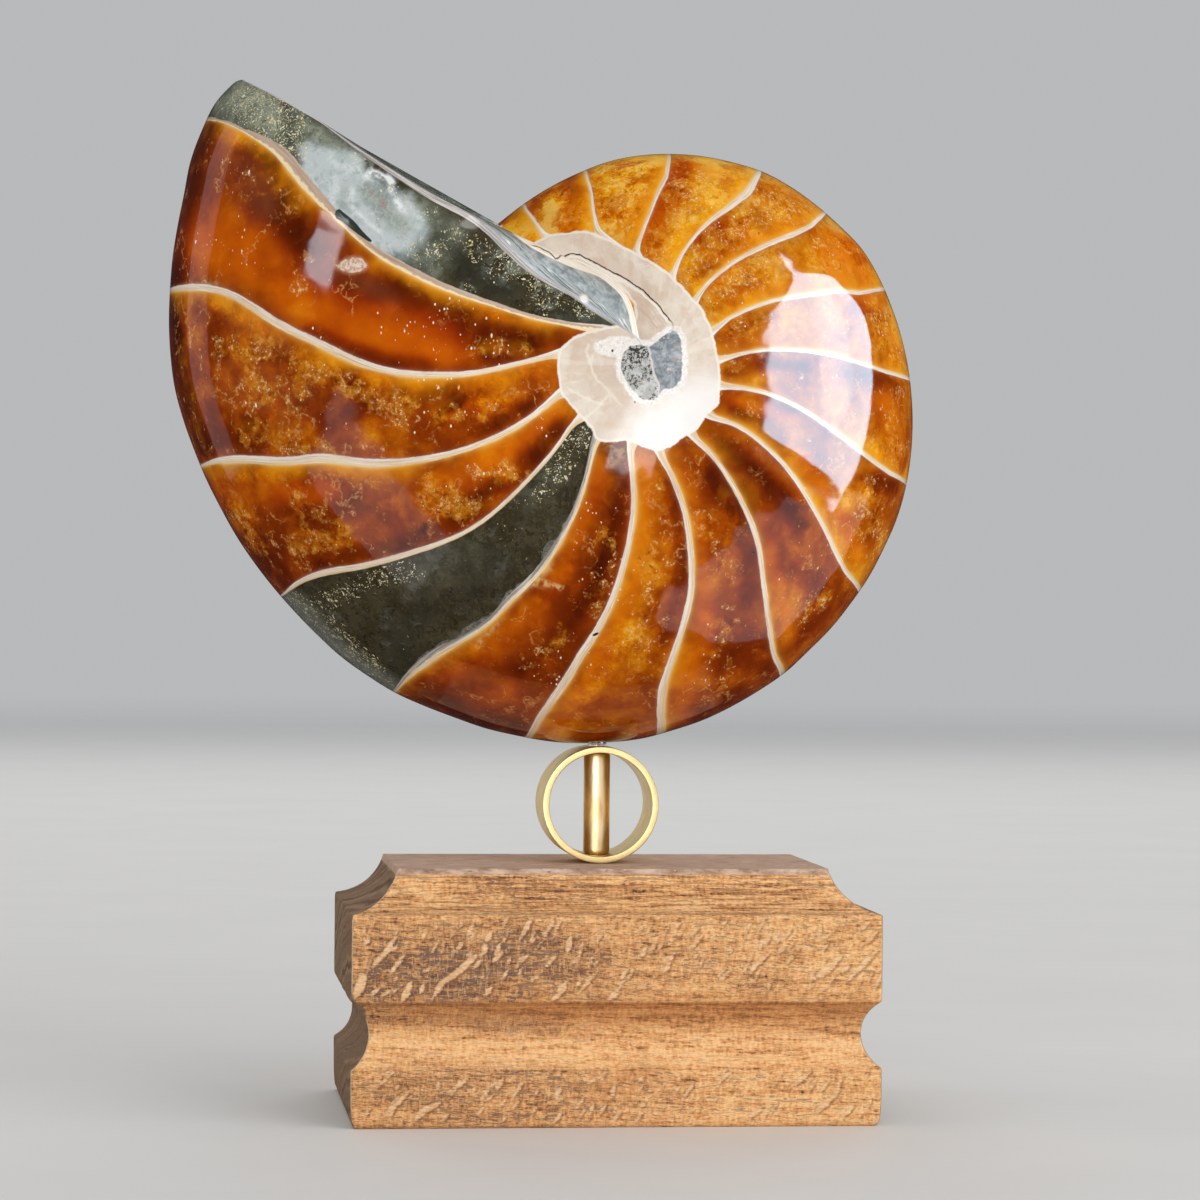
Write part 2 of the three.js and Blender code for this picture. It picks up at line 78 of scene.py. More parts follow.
STROKES = [   # what, how strong, radius in mm, along which line
    ('hot', 1.00, 3.76, [(-63.7, 132.6), (-59.5, 129.9), (-54.0, 127.9), (-47.7, 123.8), (-41.8, 120.6), (-34.5, 118.7), (-26.3, 116.9)]),
    ('hot', 0.70, 3.13, [(-48.4, 123.3), (-39.6, 119.9), (-29.3, 118.1)]),
    ('hot', 0.50, 2.82, [(-59.5, 136.5), (-55.0, 132.4)]),
    ('hot', 0.55, 2.19, [(-60.4, 96.9), (-53.6, 94.9), (-46.5, 95.1)]),
    ('hot', 0.90, 2.04, [(-49.2, 95.7), (-43.6, 95.1)]),
    ('hot', 0.90, 1.25, [(-21.6, 99.4), (-15.6, 102.7), (-10.1, 107.3)]),
    ('hot', 0.60, 1.88, [(-29.7, 96.3), (-23.1, 97.6), (-17.8, 100.5)]),
    ('hot', 0.70, 1.41, [(-10.9, 80.4), (-7.5, 87.2), (-4.9, 93.9), (-3.4, 99.2)]),
    ('hot', 0.60, 2.19, [(-25.6, 67.8), (-19.1, 72.0), (-13.5, 77.4)]),
    ('hot', 0.50, 1.88, [(-21.4, 62.7), (-15.7, 65.2)]),
    ('hot', 0.80, 1.72, [(-8.1, 59.3), (-3.8, 66.8), (-0.5, 74.5), (2.0, 82.8), (3.0, 92.5), (3.0, 98.5)]),
    ('hot', 0.70, 1.25, [(13.4, 76.8), (12.4, 85.1), (11.0, 93.4), (9.4, 97.9)]),
    ('hot', 0.70, 2.19, [(10.4, 63.0), (11.5, 70.0), (13.3, 74.6)]),
    ('hot', 0.60, 1.25, [(27.8, 73.1), (25.3, 79.2), (23.6, 85.3), (21.4, 91.3)]),
    ('hot', 0.90, 1.41, [(38.3, 85.5), (34.9, 91.6), (31.0, 96.6), (27.6, 100.2)]),
    ('hot', 0.80, 0.94, [(16.2, 109.3), (21.9, 108.2), (26.7, 106.5)]),
    ('hot', 0.60, 1.88, [(44.1, 99.5), (42.9, 105.6), (42.0, 110.2)]),
    ('hot', 0.70, 0.94, [(15.9, 116.9), (21.2, 118.3)]),
    ('hot', 0.70, 1.57, [(44.0, 115.8), (44.3, 123.0)]),
    ('hot', 0.90, 2.19, [(40.2, 131.9), (42.8, 128.3)]),
    ('hot', 0.80, 1.10, [(17.4, 124.3), (23.0, 126.0), (29.5, 127.2)]),
    ('hot', 0.90, 1.41, [(30.1, 137.5), (25.2, 136.2), (20.2, 133.7), (15.7, 130.5)]),
    ('hot', 0.80, 1.88, [(31.4, 140.6), (26.1, 142.6)]),
    ('hot', 1.00, 1.25, [(8.9, 143.9), (7.3, 139.8), (5.2, 135.6), (4.0, 132.2)]),
    ('hot', 0.40, 1.57, [(18.8, 143.8), (13.4, 145.0)]),
    ('hot', 0.70, 0.94, [(3.6, 140.1), (2.4, 136.1), (1.5, 133.0)]),
    ('hot', 0.30, 1.57, [(-2.7, 72.9), (-4.0, 69.9)]),
    ('deep', 0.95, 2.98, [(-52.6, 136.6), (-49.6, 135.0), (-48.0, 131.8)]),
    ('deep', 0.50, 3.76, [(-55.8, 141.6), (-53.6, 138.4)]),
    ('deep', 0.90, 2.35, [(-45.2, 125.6), (-41.7, 125.7), (-37.9, 124.7)]),
    ('deep', 0.95, 2.35, [(-34.4, 125.1), (-29.7, 122.0), (-24.6, 120.1)]),
    ('deep', 0.80, 1.72, [(-21.8, 119.0), (-15.8, 118.2), (-9.6, 118.1)]),
    ('deep', 0.85, 1.25, [(-46.9, 118.8), (-41.8, 116.6), (-35.9, 114.3), (-30.0, 113.5)]),
    ('deep', 0.90, 1.41, [(-19.9, 115.7), (-13.4, 116.7)]),
    ('deep', 0.90, 1.10, [(-62.2, 150.3), (-64.6, 141.8), (-66.1, 131.7), (-66.7, 126.6)]),
    ('deep', 0.80, 2.19, [(-56.5, 104.4), (-57.5, 100.4)]),
    ('deep', 0.40, 1.88, [(-48.9, 109.0), (-40.7, 110.5)]),
    ('deep', 0.60, 1.88, [(-32.9, 108.7), (-25.4, 109.7)]),
    ('deep', 0.90, 1.10, [(-21.9, 103.8), (-16.8, 106.0), (-12.9, 109.1)]),
    ('deep', 0.50, 1.41, [(-61.1, 108.4), (-60.7, 102.0)]),
    ('deep', 0.85, 0.94, [(-66.6, 124.2), (-65.6, 112.7), (-62.1, 101.4)]),
    ('deep', 0.60, 1.41, [(-48.2, 107.0), (-43.8, 104.7), (-37.7, 107.7)]),
    ('deep', 0.80, 1.57, [(-44.5, 84.4), (-34.8, 86.2), (-26.7, 90.0), (-19.4, 95.5)]),
    ('deep', 0.90, 1.25, [(-13.1, 100.5), (-9.5, 105.1)]),
    ('deep', 0.50, 1.88, [(-41.4, 93.9), (-35.5, 92.4), (-30.3, 90.7)]),
    ('deep', 0.50, 1.41, [(-52.0, 84.7), (-48.7, 81.3)]),
    ('deep', 0.60, 1.88, [(-50.9, 92.9), (-44.9, 90.6)]),
    ('deep', 0.95, 1.57, [(-2.9, 84.7), (-0.9, 91.0), (-0.4, 97.0), (-1.1, 100.7)]),
    ('deep', 0.70, 1.72, [(-8.1, 75.6), (-3.1, 82.0)]),
    ('deep', 0.80, 1.41, [(-28.1, 64.2), (-21.1, 61.3), (-14.2, 59.4)]),
    ('deep', 0.60, 1.88, [(-14.4, 68.0), (-10.0, 72.9)]),
    ('deep', 0.85, 1.25, [(7.2, 73.0), (9.2, 81.3), (9.2, 88.8), (7.6, 96.3)]),
    ('deep', 0.60, 1.41, [(5.6, 65.3), (6.0, 70.0)]),
    ('deep', 0.85, 1.57, [(19.9, 79.2), (20.0, 85.2), (17.6, 92.4), (13.7, 97.9)]),
    ('deep', 0.70, 1.88, [(18.7, 70.8), (24.8, 68.1)]),
    ('deep', 0.60, 1.57, [(14.5, 61.4), (20.5, 65.3)]),
    ('deep', 0.95, 1.41, [(15.3, 102.5), (20.4, 98.8), (25.3, 94.4), (27.9, 91.4)]),
    ('deep', 0.60, 1.88, [(22.3, 88.3), (27.4, 84.6), (32.0, 80.8)]),
    ('deep', 0.60, 1.41, [(28.7, 73.1), (35.9, 79.3)]),
    ('deep', 0.70, 1.10, [(15.2, 109.0), (19.6, 106.7), (25.1, 103.4)]),
    ('deep', 0.80, 1.25, [(38.0, 98.0), (44.2, 96.9)]),
    ('deep', 0.90, 0.94, [(16.0, 113.3), (22.0, 114.9), (28.4, 114.8)]),
    ('deep', 0.50, 1.10, [(35.8, 114.1), (43.9, 112.1)]),
    ('deep', 0.50, 0.94, [(15.3, 118.7), (18.9, 120.8), (23.7, 122.5)]),
    ('deep', 0.60, 1.25, [(36.5, 124.6), (42.4, 122.7)]),
    ('deep', 0.60, 1.10, [(15.4, 123.8), (19.1, 126.2), (23.1, 128.7)]),
    ('deep', 0.50, 1.41, [(35.2, 134.2), (38.6, 131.7)]),
    ('deep', 0.50, 1.10, [(12.9, 128.4), (17.1, 134.0), (21.3, 138.1)]),
    ('deep', 0.50, 1.10, [(4.2, 130.3), (5.6, 133.8)]),
    ('deep', 0.35, 1.10, [(-2.0, 143.6), (-2.1, 137.8)]),
    ('gold', 0.80, 1.41, [(-59.9, 149.7), (-56.4, 147.7), (-53.5, 145.3)]),
    ('gold', 0.80, 1.41, [(-53.2, 143.7), (-50.6, 139.8), (-47.8, 137.4)]),
    ('gold', 0.60, 1.10, [(-34.6, 127.3), (-27.9, 123.8), (-20.4, 121.7), (-11.9, 119.5)]),
    ('gold', 0.80, 1.41, [(-62.2, 124.0), (-57.8, 122.0), (-53.9, 119.5)]),
    ('gold', 0.60, 1.25, [(-44.0, 114.6), (-34.4, 111.1), (-23.2, 111.1), (-12.7, 113.5)]),
    ('gold', 0.90, 1.41, [(-60.6, 97.7), (-55.4, 97.5), (-48.0, 97.2)]),
    ('gold', 0.50, 1.25, [(-43.6, 97.8), (-33.4, 97.5)]),
    ('gold', 0.60, 1.41, [(-27.7, 106.7), (-18.7, 107.9)]),
    ('gold', 0.50, 1.41, [(-23.3, 116.7), (-15.7, 116.2)]),
    ('gold', 0.50, 1.41, [(-58.5, 93.2), (-53.3, 87.7)]),
    ('gold', 0.70, 1.25, [(-26.9, 67.8), (-21.2, 71.2)]),
    ('gold', 0.50, 1.10, [(-11.3, 78.9), (-7.0, 84.9)]),
    ('gold', 0.60, 1.41, [(-6.7, 59.8), (-2.6, 66.8), (1.0, 74.5)]),
    ('gold', 0.50, 1.25, [(15.8, 95.0), (17.4, 91.2)]),
    ('gold', 0.70, 1.41, [(37.2, 83.2), (32.6, 90.0), (28.5, 95.7)]),
    ('gold', 0.70, 1.41, [(46.3, 98.9), (40.2, 101.6)]),
    ('gold', 0.60, 1.57, [(35.3, 94.6), (38.9, 96.2)]),
    ('gold', 0.60, 1.41, [(44.9, 114.7), (42.8, 118.0)]),
    ('gold', 0.90, 1.72, [(34.8, 136.6), (39.2, 132.4)]),
    ('gold', 0.70, 1.41, [(15.3, 121.2), (19.8, 124.7)]),
    ('gold', 0.70, 1.57, [(12.8, 126.0), (18.5, 130.6)]),
    ('gold', 0.80, 1.88, [(5.3, 129.0), (9.4, 133.8), (13.5, 138.7), (18.6, 143.0)]),
    ('gold', 0.90, 1.88, [(0.3, 133.8), (3.6, 139.3), (6.3, 144.4)]),
    ('gold', 0.90, 2.19, [(-1.1, 136.2), (-0.0, 144.4)]),
    ('gold', 0.90, 1.57, [(-6.6, 136.2), (-6.5, 142.1)]),
    ('gold', 0.80, 1.25, [(-12.6, 139.0), (-14.0, 138.2)]),
    # painted reflection: milky haze where softboxes reflect in the polish
    ('painted_reflection_haze', 0.50, 2.82, [(-57.6, 144.0), (-54.1, 137.7)]),
    ('painted_reflection_haze', 0.50, 2.51, [(-59.4, 123.6), (-56.3, 120.8), (-52.0, 118.2)]),
    ('painted_reflection_haze', 0.35, 2.82, [(-34.1, 96.6), (-39.1, 93.6)]),
    ('painted_reflection_haze', 0.35, 3.45, [(-57.1, 111.5), (-49.7, 108.5)]),
    ('painted_reflection_haze', 0.30, 2.51, [(-24.1, 82.5), (-28.4, 78.8)]),
    ('painted_reflection_haze', 0.40, 1.57, [(-44.1, 128.9), (-35.3, 123.2)]),
    ('painted_reflection_haze', 0.30, 2.19, [(12.2, 85.1), (14.8, 79.1)]),
    ('cloud', 0.50, 2.51, [(-60.8, 116.9), (-54.2, 116.7)]),
    ('cloud', 0.90, 1.88, [(-53.0, 115.9), (-49.5, 114.7)]),
    ('cloud', 0.80, 2.04, [(-54.9, 110.3), (-49.4, 108.4)]),
    ('cloud', 0.90, 1.88, [(-46.8, 112.5), (-41.5, 110.8)]),
    ('cloud', 0.90, 2.04, [(-40.2, 109.6), (-33.3, 107.8)]),
    ('cloud', 0.90, 1.88, [(-55.2, 103.2), (-44.9, 101.0)]),
    ('cloud', 0.60, 1.57, [(-27.6, 106.2), (-18.6, 107.2)]),
    ('cloud', 0.90, 2.19, [(-28.9, 94.8), (-22.9, 92.5)]),
    ('cloud', 0.80, 1.57, [(-21.2, 97.9), (-15.5, 97.1)]),
    ('cloud', 0.60, 2.19, [(-48.0, 93.6), (-43.5, 90.6)]),
    ('cloud', 0.70, 1.88, [(-47.8, 86.9), (-40.5, 87.7)]),
    ('cloud', 0.50, 2.19, [(-56.5, 90.8), (-53.2, 87.0)]),
    ('cloud', 0.70, 1.41, [(-22.4, 116.3), (-15.1, 115.9)]),
    ('cloud', 0.35, 3.13, [(-55.8, 143.1), (-52.2, 138.4)]),
    ('cloud', 0.50, 1.57, [(-62.4, 126.0), (-59.9, 126.6)]),
    ('cloud', 0.50, 1.88, [(-48.5, 128.9), (-48.4, 123.3)]),
    ('cloud', 0.50, 2.19, [(-12.3, 69.8), (-8.7, 72.9)]),
    ('cloud', 0.60, 1.88, [(-1.8, 88.0), (-3.0, 79.0)]),
    ('cloud', 0.80, 2.19, [(3.4, 73.0), (5.1, 85.1)]),
    ('cloud', 0.60, 1.57, [(5.0, 91.0), (5.8, 97.1)]),
    ('cloud', 0.60, 1.88, [(12.0, 91.2), (14.5, 85.2)]),
    ('cloud', 0.50, 2.19, [(18.1, 77.6), (16.7, 66.9)]),
    ('cloud', 0.60, 2.19, [(28.7, 79.2), (32.2, 79.3)]),
    ('cloud', 0.90, 2.19, [(37.9, 94.7), (42.3, 88.7)]),
    ('cloud', 0.90, 1.88, [(42.9, 107.1), (43.6, 101.0)]),
    ('cloud', 0.80, 1.57, [(42.4, 122.7), (43.8, 118.1)]),
    ('cloud', 0.70, 1.10, [(17.3, 119.2), (22.1, 121.7)]),
    ('cloud', 1.00, 1.57, [(12.8, 124.8), (20.0, 128.6), (21.6, 130.2)]),
    ('cloud', 1.00, 1.88, [(10.6, 128.3), (17.1, 134.0), (22.0, 137.7)]),
    ('cloud', 0.80, 2.51, [(27.3, 140.1), (22.2, 139.8)]),
    ('cloud', 0.90, 2.19, [(5.4, 130.6), (9.5, 136.2), (11.4, 141.9)]),
    ('cloud', 0.70, 2.19, [(16.1, 141.2), (13.1, 142.8)]),
    ('cloud', 1.00, 1.88, [(0.3, 133.8), (1.8, 139.3), (1.6, 145.3)]),
    ('cloud', 0.40, 1.88, [(-6.7, 139.5), (-8.3, 137.9)]),
    ('cloud', 0.70, 1.88, [(17.3, 115.4), (21.2, 116.3)]),
    ('speck', 0.90, 1.25, [(-57.3, 136.8), (-57.1, 133.8)]),
    ('speck', 0.80, 1.57, [(-63.7, 133.9), (-63.1, 131.4)]),
    ('speck', 0.90, 1.88, [(-61.4, 132.6), (-55.5, 130.3)]),
    ('speck', 0.80, 1.41, [(-63.9, 129.7), (-65.2, 128.3)]),
    ('speck', 0.90, 2.19, [(-36.1, 119.2), (-27.8, 120.3)]),
    ('speck', 1.00, 2.51, [(-31.1, 117.3), (-18.7, 115.8)]),
    ('speck', 0.70, 1.88, [(-23.4, 123.4), (-18.8, 119.5)]),
    ('speck', 0.60, 1.88, [(-57.9, 144.0), (-55.9, 141.9)]),
    ('speck', 0.60, 1.25, [(-48.4, 119.1), (-46.6, 118.5)]),
    ('speck', 0.70, 1.57, [(-32.2, 112.6), (-27.0, 110.7)]),
    ('speck', 0.60, 1.57, [(-12.6, 106.5), (-8.6, 102.9)]),
    ('speck', 0.60, 2.19, [(-21.6, 98.2), (-18.5, 95.2)]),
    ('speck', 0.50, 3.13, [(-54.1, 108.5), (-45.3, 105.5)]),
    ('speck', 0.40, 4.08, [(-8.3, 66.8), (-2.7, 72.9)]),
    ('speck', 0.35, 4.08, [(11.9, 66.9), (16.1, 73.1)]),
    ('speck', 0.40, 3.13, [(-3.3, 90.9), (-1.2, 79.0)]),
    ('speck', 0.30, 3.76, [(28.7, 79.2), (39.9, 91.7)]),
    ('speck', 0.40, 2.51, [(15.5, 134.7), (12.8, 140.3)]),
    ('speck', 0.40, 2.51, [(-29.1, 107.0), (-23.1, 105.6)]),
    ('pyr', 0.90, 3.13, [(-56.1, 154.2), (-51.7, 149.4)]),
    ('pyr', 0.55, 2.19, [(-53.1, 154.7), (-48.5, 150.2)]),
    ('pyr', 0.75, 1.57, [(-50.3, 147.4), (-48.0, 145.5)]),
    ('pyr', 0.65, 1.10, [(-40.8, 144.5), (-38.6, 143.7)]),
    ('pyr', 0.60, 1.41, [(-35.4, 139.6), (-29.5, 136.2)]),
    ('pyr', 0.90, 1.72, [(-31.9, 131.2), (-29.4, 129.4)]),
    ('pyr', 0.80, 1.10, [(-28.0, 130.9), (-26.5, 132.2)]),
    ('pyr', 0.80, 1.10, [(-26.3, 133.6), (-24.7, 132.8)]),
    ('pyr', 0.90, 1.10, [(-23.5, 130.7), (-22.6, 129.6)]),
    ('pyr', 0.60, 1.10, [(-22.1, 132.5), (-20.5, 130.8)]),
    ('pyr', 0.70, 1.25, [(-20.4, 127.6), (-18.9, 126.7)]),
    ('pyr', 1.10, 2.19, [(-17.2, 129.2), (-13.4, 127.2), (-12.1, 123.7)]),
    ('pyr', 1.00, 1.41, [(-10.9, 124.6), (-8.2, 123.5), (-5.7, 122.1)]),
    ('pyr', 0.80, 0.94, [(-24.3, 125.1), (-23.4, 124.8)]),
    ('pyr', 1.10, 1.41, [(-6.7, 104.7), (-5.2, 102.9)]),
    ('pyr', 1.10, 1.88, [(-8.0, 101.4), (-10.1, 97.7)]),
    ('pyr', 0.50, 1.57, [(-11.7, 95.3), (-15.4, 93.1)]),
    ('pyr', 0.40, 1.57, [(-17.6, 87.8), (-18.4, 89.6)]),
    ('pyr', 0.90, 1.72, [(-37.6, 81.7), (-31.2, 82.9)]),
    ('pyr', 0.90, 1.57, [(-43.8, 78.6), (-40.2, 80.2)]),
    ('pyr', 1.00, 1.41, [(-43.6, 75.6), (-40.5, 72.5)]),
    ('pyr', 0.80, 1.41, [(-48.4, 78.8), (-43.8, 73.3), (-38.9, 69.2)]),
    ('pyr', 1.00, 1.57, [(-40.3, 71.2), (-36.2, 68.4)]),
    ('pyr', 0.60, 0.94, [(-35.7, 67.5), (-32.8, 65.4)]),
    ('pyr', 0.40, 0.94, [(-32.2, 72.1), (-31.9, 71.4)]),
    ('rk', 0.90, 2.51, [(-59.3, 155.7), (-57.5, 152.7)]),
    ('rk', 0.75, 2.82, [(-56.5, 155.1), (-51.4, 149.1)]),
    ('rk', 0.30, 1.88, [(-49.1, 149.3), (-48.5, 145.8)]),
    ('rk', 0.80, 2.51, [(-45.9, 147.3), (-42.7, 144.2)]),
    ('rk', 0.80, 3.76, [(-43.4, 139.6), (-35.4, 134.3)]),
    ('rk', 0.45, 2.19, [(-31.0, 135.8), (-26.5, 132.9)]),
    ('rk', 0.40, 1.88, [(-30.9, 130.6), (-27.9, 129.4)]),
    ('rk', 0.35, 1.57, [(-32.3, 128.0), (-29.4, 127.0)]),
    ('rk', 0.50, 1.25, [(-48.0, 78.7), (-41.0, 71.3), (-33.7, 65.9)]),
    ('rk', 0.25, 2.82, [(-30.0, 82.5), (-22.7, 85.5)]),
    ('rk', 0.20, 2.19, [(-9.5, 98.4), (-14.0, 93.8)]),
    ('rk', 0.25, 1.25, [(-9.7, 120.0), (-3.5, 120.7)]),
    ('dark', 0.90, 1.57, [(-50.3, 150.9), (-49.7, 147.4), (-48.5, 144.9)]),
    ('dark', 0.50, 1.25, [(-58.5, 151.8), (-56.7, 150.7)]),
    ('dark', 0.70, 2.19, [(-28.0, 132.1), (-23.5, 128.9)]),
    ('dark', 0.90, 2.35, [(-23.4, 127.5), (-18.2, 124.7)]),
    ('dark', 0.50, 1.57, [(-34.6, 129.8), (-30.2, 128.4)]),
    ('dark', 0.80, 1.41, [(-9.7, 121.5), (-3.5, 120.7)]),
    ('dark', 0.60, 2.19, [(-33.3, 72.7), (-28.3, 77.2)]),
    ('dark', 0.60, 1.88, [(-33.6, 68.0), (-31.6, 70.4)]),
    ('dark', 0.50, 2.19, [(-18.3, 84.8), (-22.6, 80.3)]),
    ('dark', 0.50, 1.41, [(-47.8, 144.3), (-46.4, 145.7)]),
    ('pale', 1.00, 2.19, [(-45.9, 141.5), (-41.2, 139.6), (-36.1, 134.8)]),
    ('pale', 0.90, 2.19, [(-41.9, 137.4), (-37.6, 133.3)]),
    ('pale', 0.70, 1.88, [(-33.9, 137.3), (-32.2, 134.3)]),
    ('pale', 0.60, 1.41, [(-47.7, 145.8), (-45.6, 144.3)]),
    ('pale', 0.50, 1.41, [(-44.2, 143.4), (-40.9, 144.2)]),
    ('vein', 1.00, 0.34, [(-39.5, 141.3), (-38.0, 142.4), (-36.3, 141.5), (-35.2, 141.4), (-35.2, 139.5)]),
    ('vein', 0.90, 0.41, [(-34.5, 138.0), (-33.5, 136.5)]),
    ('vein', 0.50, 0.31, [(-40.9, 140.2), (-41.2, 137.4), (-39.0, 135.1), (-36.8, 133.3)]),
    ('vein', 0.40, 0.31, [(-43.0, 140.4), (-44.1, 138.1), (-41.9, 134.8), (-38.2, 131.8)]),
    ('vein', 0.40, 0.31, [(-44.2, 144.2), (-42.0, 142.7), (-39.8, 142.9)]),
    ('vein', 0.35, 0.31, [(-41.9, 143.4), (-43.4, 141.1)]),
    ('ring', 0.90, 1.25, [(-38.6, 139.3), (-36.5, 138.3)]),
    ('ring', 0.90, 1.41, [(-35.6, 135.7), (-33.6, 134.2)]),
    ('ring', 0.50, 0.94, [(-42.0, 139.3), (-42.2, 138.1)]),
    ('rust', 1.00, 0.34, [(-36.5, 137.7), (-36.2, 137.1)]),
    ('rust', 1.00, 0.31, [(-51.2, 154.0), (-50.6, 153.7)]),
    ('rust', 0.50, 0.31, [(-38.0, 139.1), (-37.9, 139.0)]),
    ('cream', 0.90, 0.63, [(-30.1, 69.0), (-26.6, 71.2), (-20.8, 74.6)]),
    ('cream', 0.90, 0.71, [(-18.0, 77.6), (-15.1, 80.4), (-11.0, 84.0)]),
    ('cream', 0.50, 0.94, [(-1.9, 102.4), (-0.0, 101.2), (-1.6, 99.7)]),
    ('cream', 0.70, 0.47, [(-20.9, 72.3), (-18.2, 75.5)]),
    ('cream', 0.60, 0.34, [(-12.8, 81.6), (-11.4, 81.3), (-9.7, 81.0)]),
    ('cream', 0.60, 0.55, [(-63.7, 125.9), (-60.9, 126.1)]),
    ('deep', 1.00, 1.60, [(11.0, 146.5), (9.2, 142.2), (7.0, 138.2), (5.6, 134.1)]),
    ('hot', 1.00, 1.60, [(11.0, 146.5), (9.2, 142.2), (7.0, 138.2), (5.6, 134.1)]),
    ('hot', 0.95, 1.10, [(6.6, 144.9), (4.9, 140.5), (3.3, 136.0), (2.2, 132.2)]),
    ('deep', 0.60, 1.80, [(-5.6, 144.2), (-6.4, 139.5), (-7.0, 135.4)]),
    ('hot', 0.80, 1.80, [(-5.6, 144.2), (-6.4, 139.5), (-7.0, 135.4)]),
    ('hot', 0.80, 1.80, [(12.5, 134.2), (15.6, 135.2), (18.0, 134.0)]),
    ('deep', 0.90, 1.80, [(12.5, 134.2), (15.6, 135.2), (18.0, 134.0)]),
    ('cream', 1.60, 0.30, [(-13.9, 81.9), (-11.9, 81.4), (-9.1, 80.7)]),
    ('pale', 1.00, 3.20, [(-44.5, 142.5), (-40.5, 139.5), (-36.5, 135.5), (-34.0, 133.0)]),
    ('deep', -0.45, 1.50, [(-8.2, 142.9), (-9.1, 139.6), (-9.3, 136.3)]),
    ('deep', -0.40, 1.90, [(15.3, 145.5), (13.5, 141.1), (11.3, 137.3)]),
    ('deep', 0.80, 1.60, [(17.8, 95.7), (21.5, 89.8)]),
    ('deep', 0.42, 2.20, [(-41.1, 123.2), (-34.5, 121.4), (-27.8, 119.5), (-21.8, 116.7)]),
]

FLECKS = [   # ray flecks on the front: half width, line
    (0.78, [(-39.6, 19.4), (-38.0, 23.0)]),
    (0.44, [(-37.3, 23.8), (-35.0, 26.3), (-33.4, 28.8)]),
    (0.33, [(-34.4, 23.0), (-32.0, 26.3)]),
    (0.55, [(-32.5, 19.0), (-31.1, 21.9)]),
    (0.33, [(-38.1, 27.4), (-37.4, 28.5)]),
    (0.50, [(-28.1, 19.1), (-26.7, 21.6), (-24.2, 23.3), (-21.2, 26.0)]),
    (0.39, [(-19.0, 24.9), (-17.6, 26.3)]),
    (0.44, [(-14.9, 28.2), (-13.2, 31.5)]),
    (0.50, [(-20.1, 27.9), (-19.3, 29.3)]),
    (0.33, [(-24.3, 26.8), (-23.5, 27.7)]),
    (0.28, [(-9.8, 29.3), (-8.9, 31.2)]),
    (0.50, [(-7.9, 26.3), (-7.4, 28.5)]),
    (0.25, [(-6.4, 24.6), (-5.4, 28.2)]),
    (0.33, [(-5.9, 20.5), (-3.4, 23.5)]),
    (0.39, [(-10.1, 19.1), (-7.9, 21.0)]),
    (0.39, [(-1.7, 19.1), (0.1, 20.4)]),
    (0.39, [(-20.3, 19.7), (-19.2, 21.0)]),
    (0.22, [(-16.8, 24.4), (-16.4, 25.7)]),
    (0.22, [(-17.4, 27.9), (-17.1, 28.8)]),
    (0.28, [(-25.4, 28.5), (-24.6, 29.1)]),
    (0.22, [(-38.3, 29.1), (-38.2, 30.2)]),
    (0.25, [(-29.5, 23.3), (-28.1, 24.1)]),
    (0.33, [(-35.1, 1.8), (-31.3, 5.7)]),
    (0.44, [(-30.7, 1.0), (-29.3, 2.6), (-26.6, 4.0)]),
    (0.33, [(-26.5, 1.2), (-25.4, 2.3)]),
    (0.33, [(-25.5, 5.4), (-22.5, 7.5)]),
    (0.28, [(-4.7, 6.6), (-1.6, 8.3)]),
    (0.33, [(-9.9, 0.6), (-8.5, 2.2)]),
    (0.33, [(-0.7, 1.1), (0.3, 2.5)]),
    (0.22, [(-19.9, 4.2), (-18.8, 5.0)]),
    (0.22, [(-17.4, 0.9), (-16.9, 2.0)]),
    (0.39, [(19.5, 22.9), (20.9, 24.6), (22.8, 26.2)]),
    (0.39, [(0.2, 22.1), (1.3, 23.8)]),
    (0.33, [(-1.7, 19.3), (0.2, 21.0)]),
    (0.28, [(6.6, 23.2), (7.7, 24.3)]),
    (0.28, [(15.0, 22.9), (16.1, 23.7)]),
    (0.61, [(29.6, 22.3), (31.6, 23.7), (33.6, 25.7)]),
    (0.39, [(34.4, 21.8), (36.7, 24.0), (39.2, 26.5)]),
    (0.33, [(38.7, 20.6), (39.8, 22.9)]),
    (0.28, [(30.1, 28.4), (30.4, 30.7)]),
    (0.17, [(31.0, 27.3), (30.7, 29.3)]),
    (0.22, [(4.7, 21.8), (5.5, 22.9)]),
    (0.33, [(26.7, 6.2), (29.2, 8.4)]),
    (0.44, [(29.5, 2.0), (31.8, 3.7), (33.7, 5.9)]),
    (0.28, [(19.7, 0.9), (20.5, 2.1)]),
    (0.28, [(33.8, 1.1), (36.0, 3.4)]),
    (0.22, [(2.6, 0.8), (3.7, 2.4)]),
]
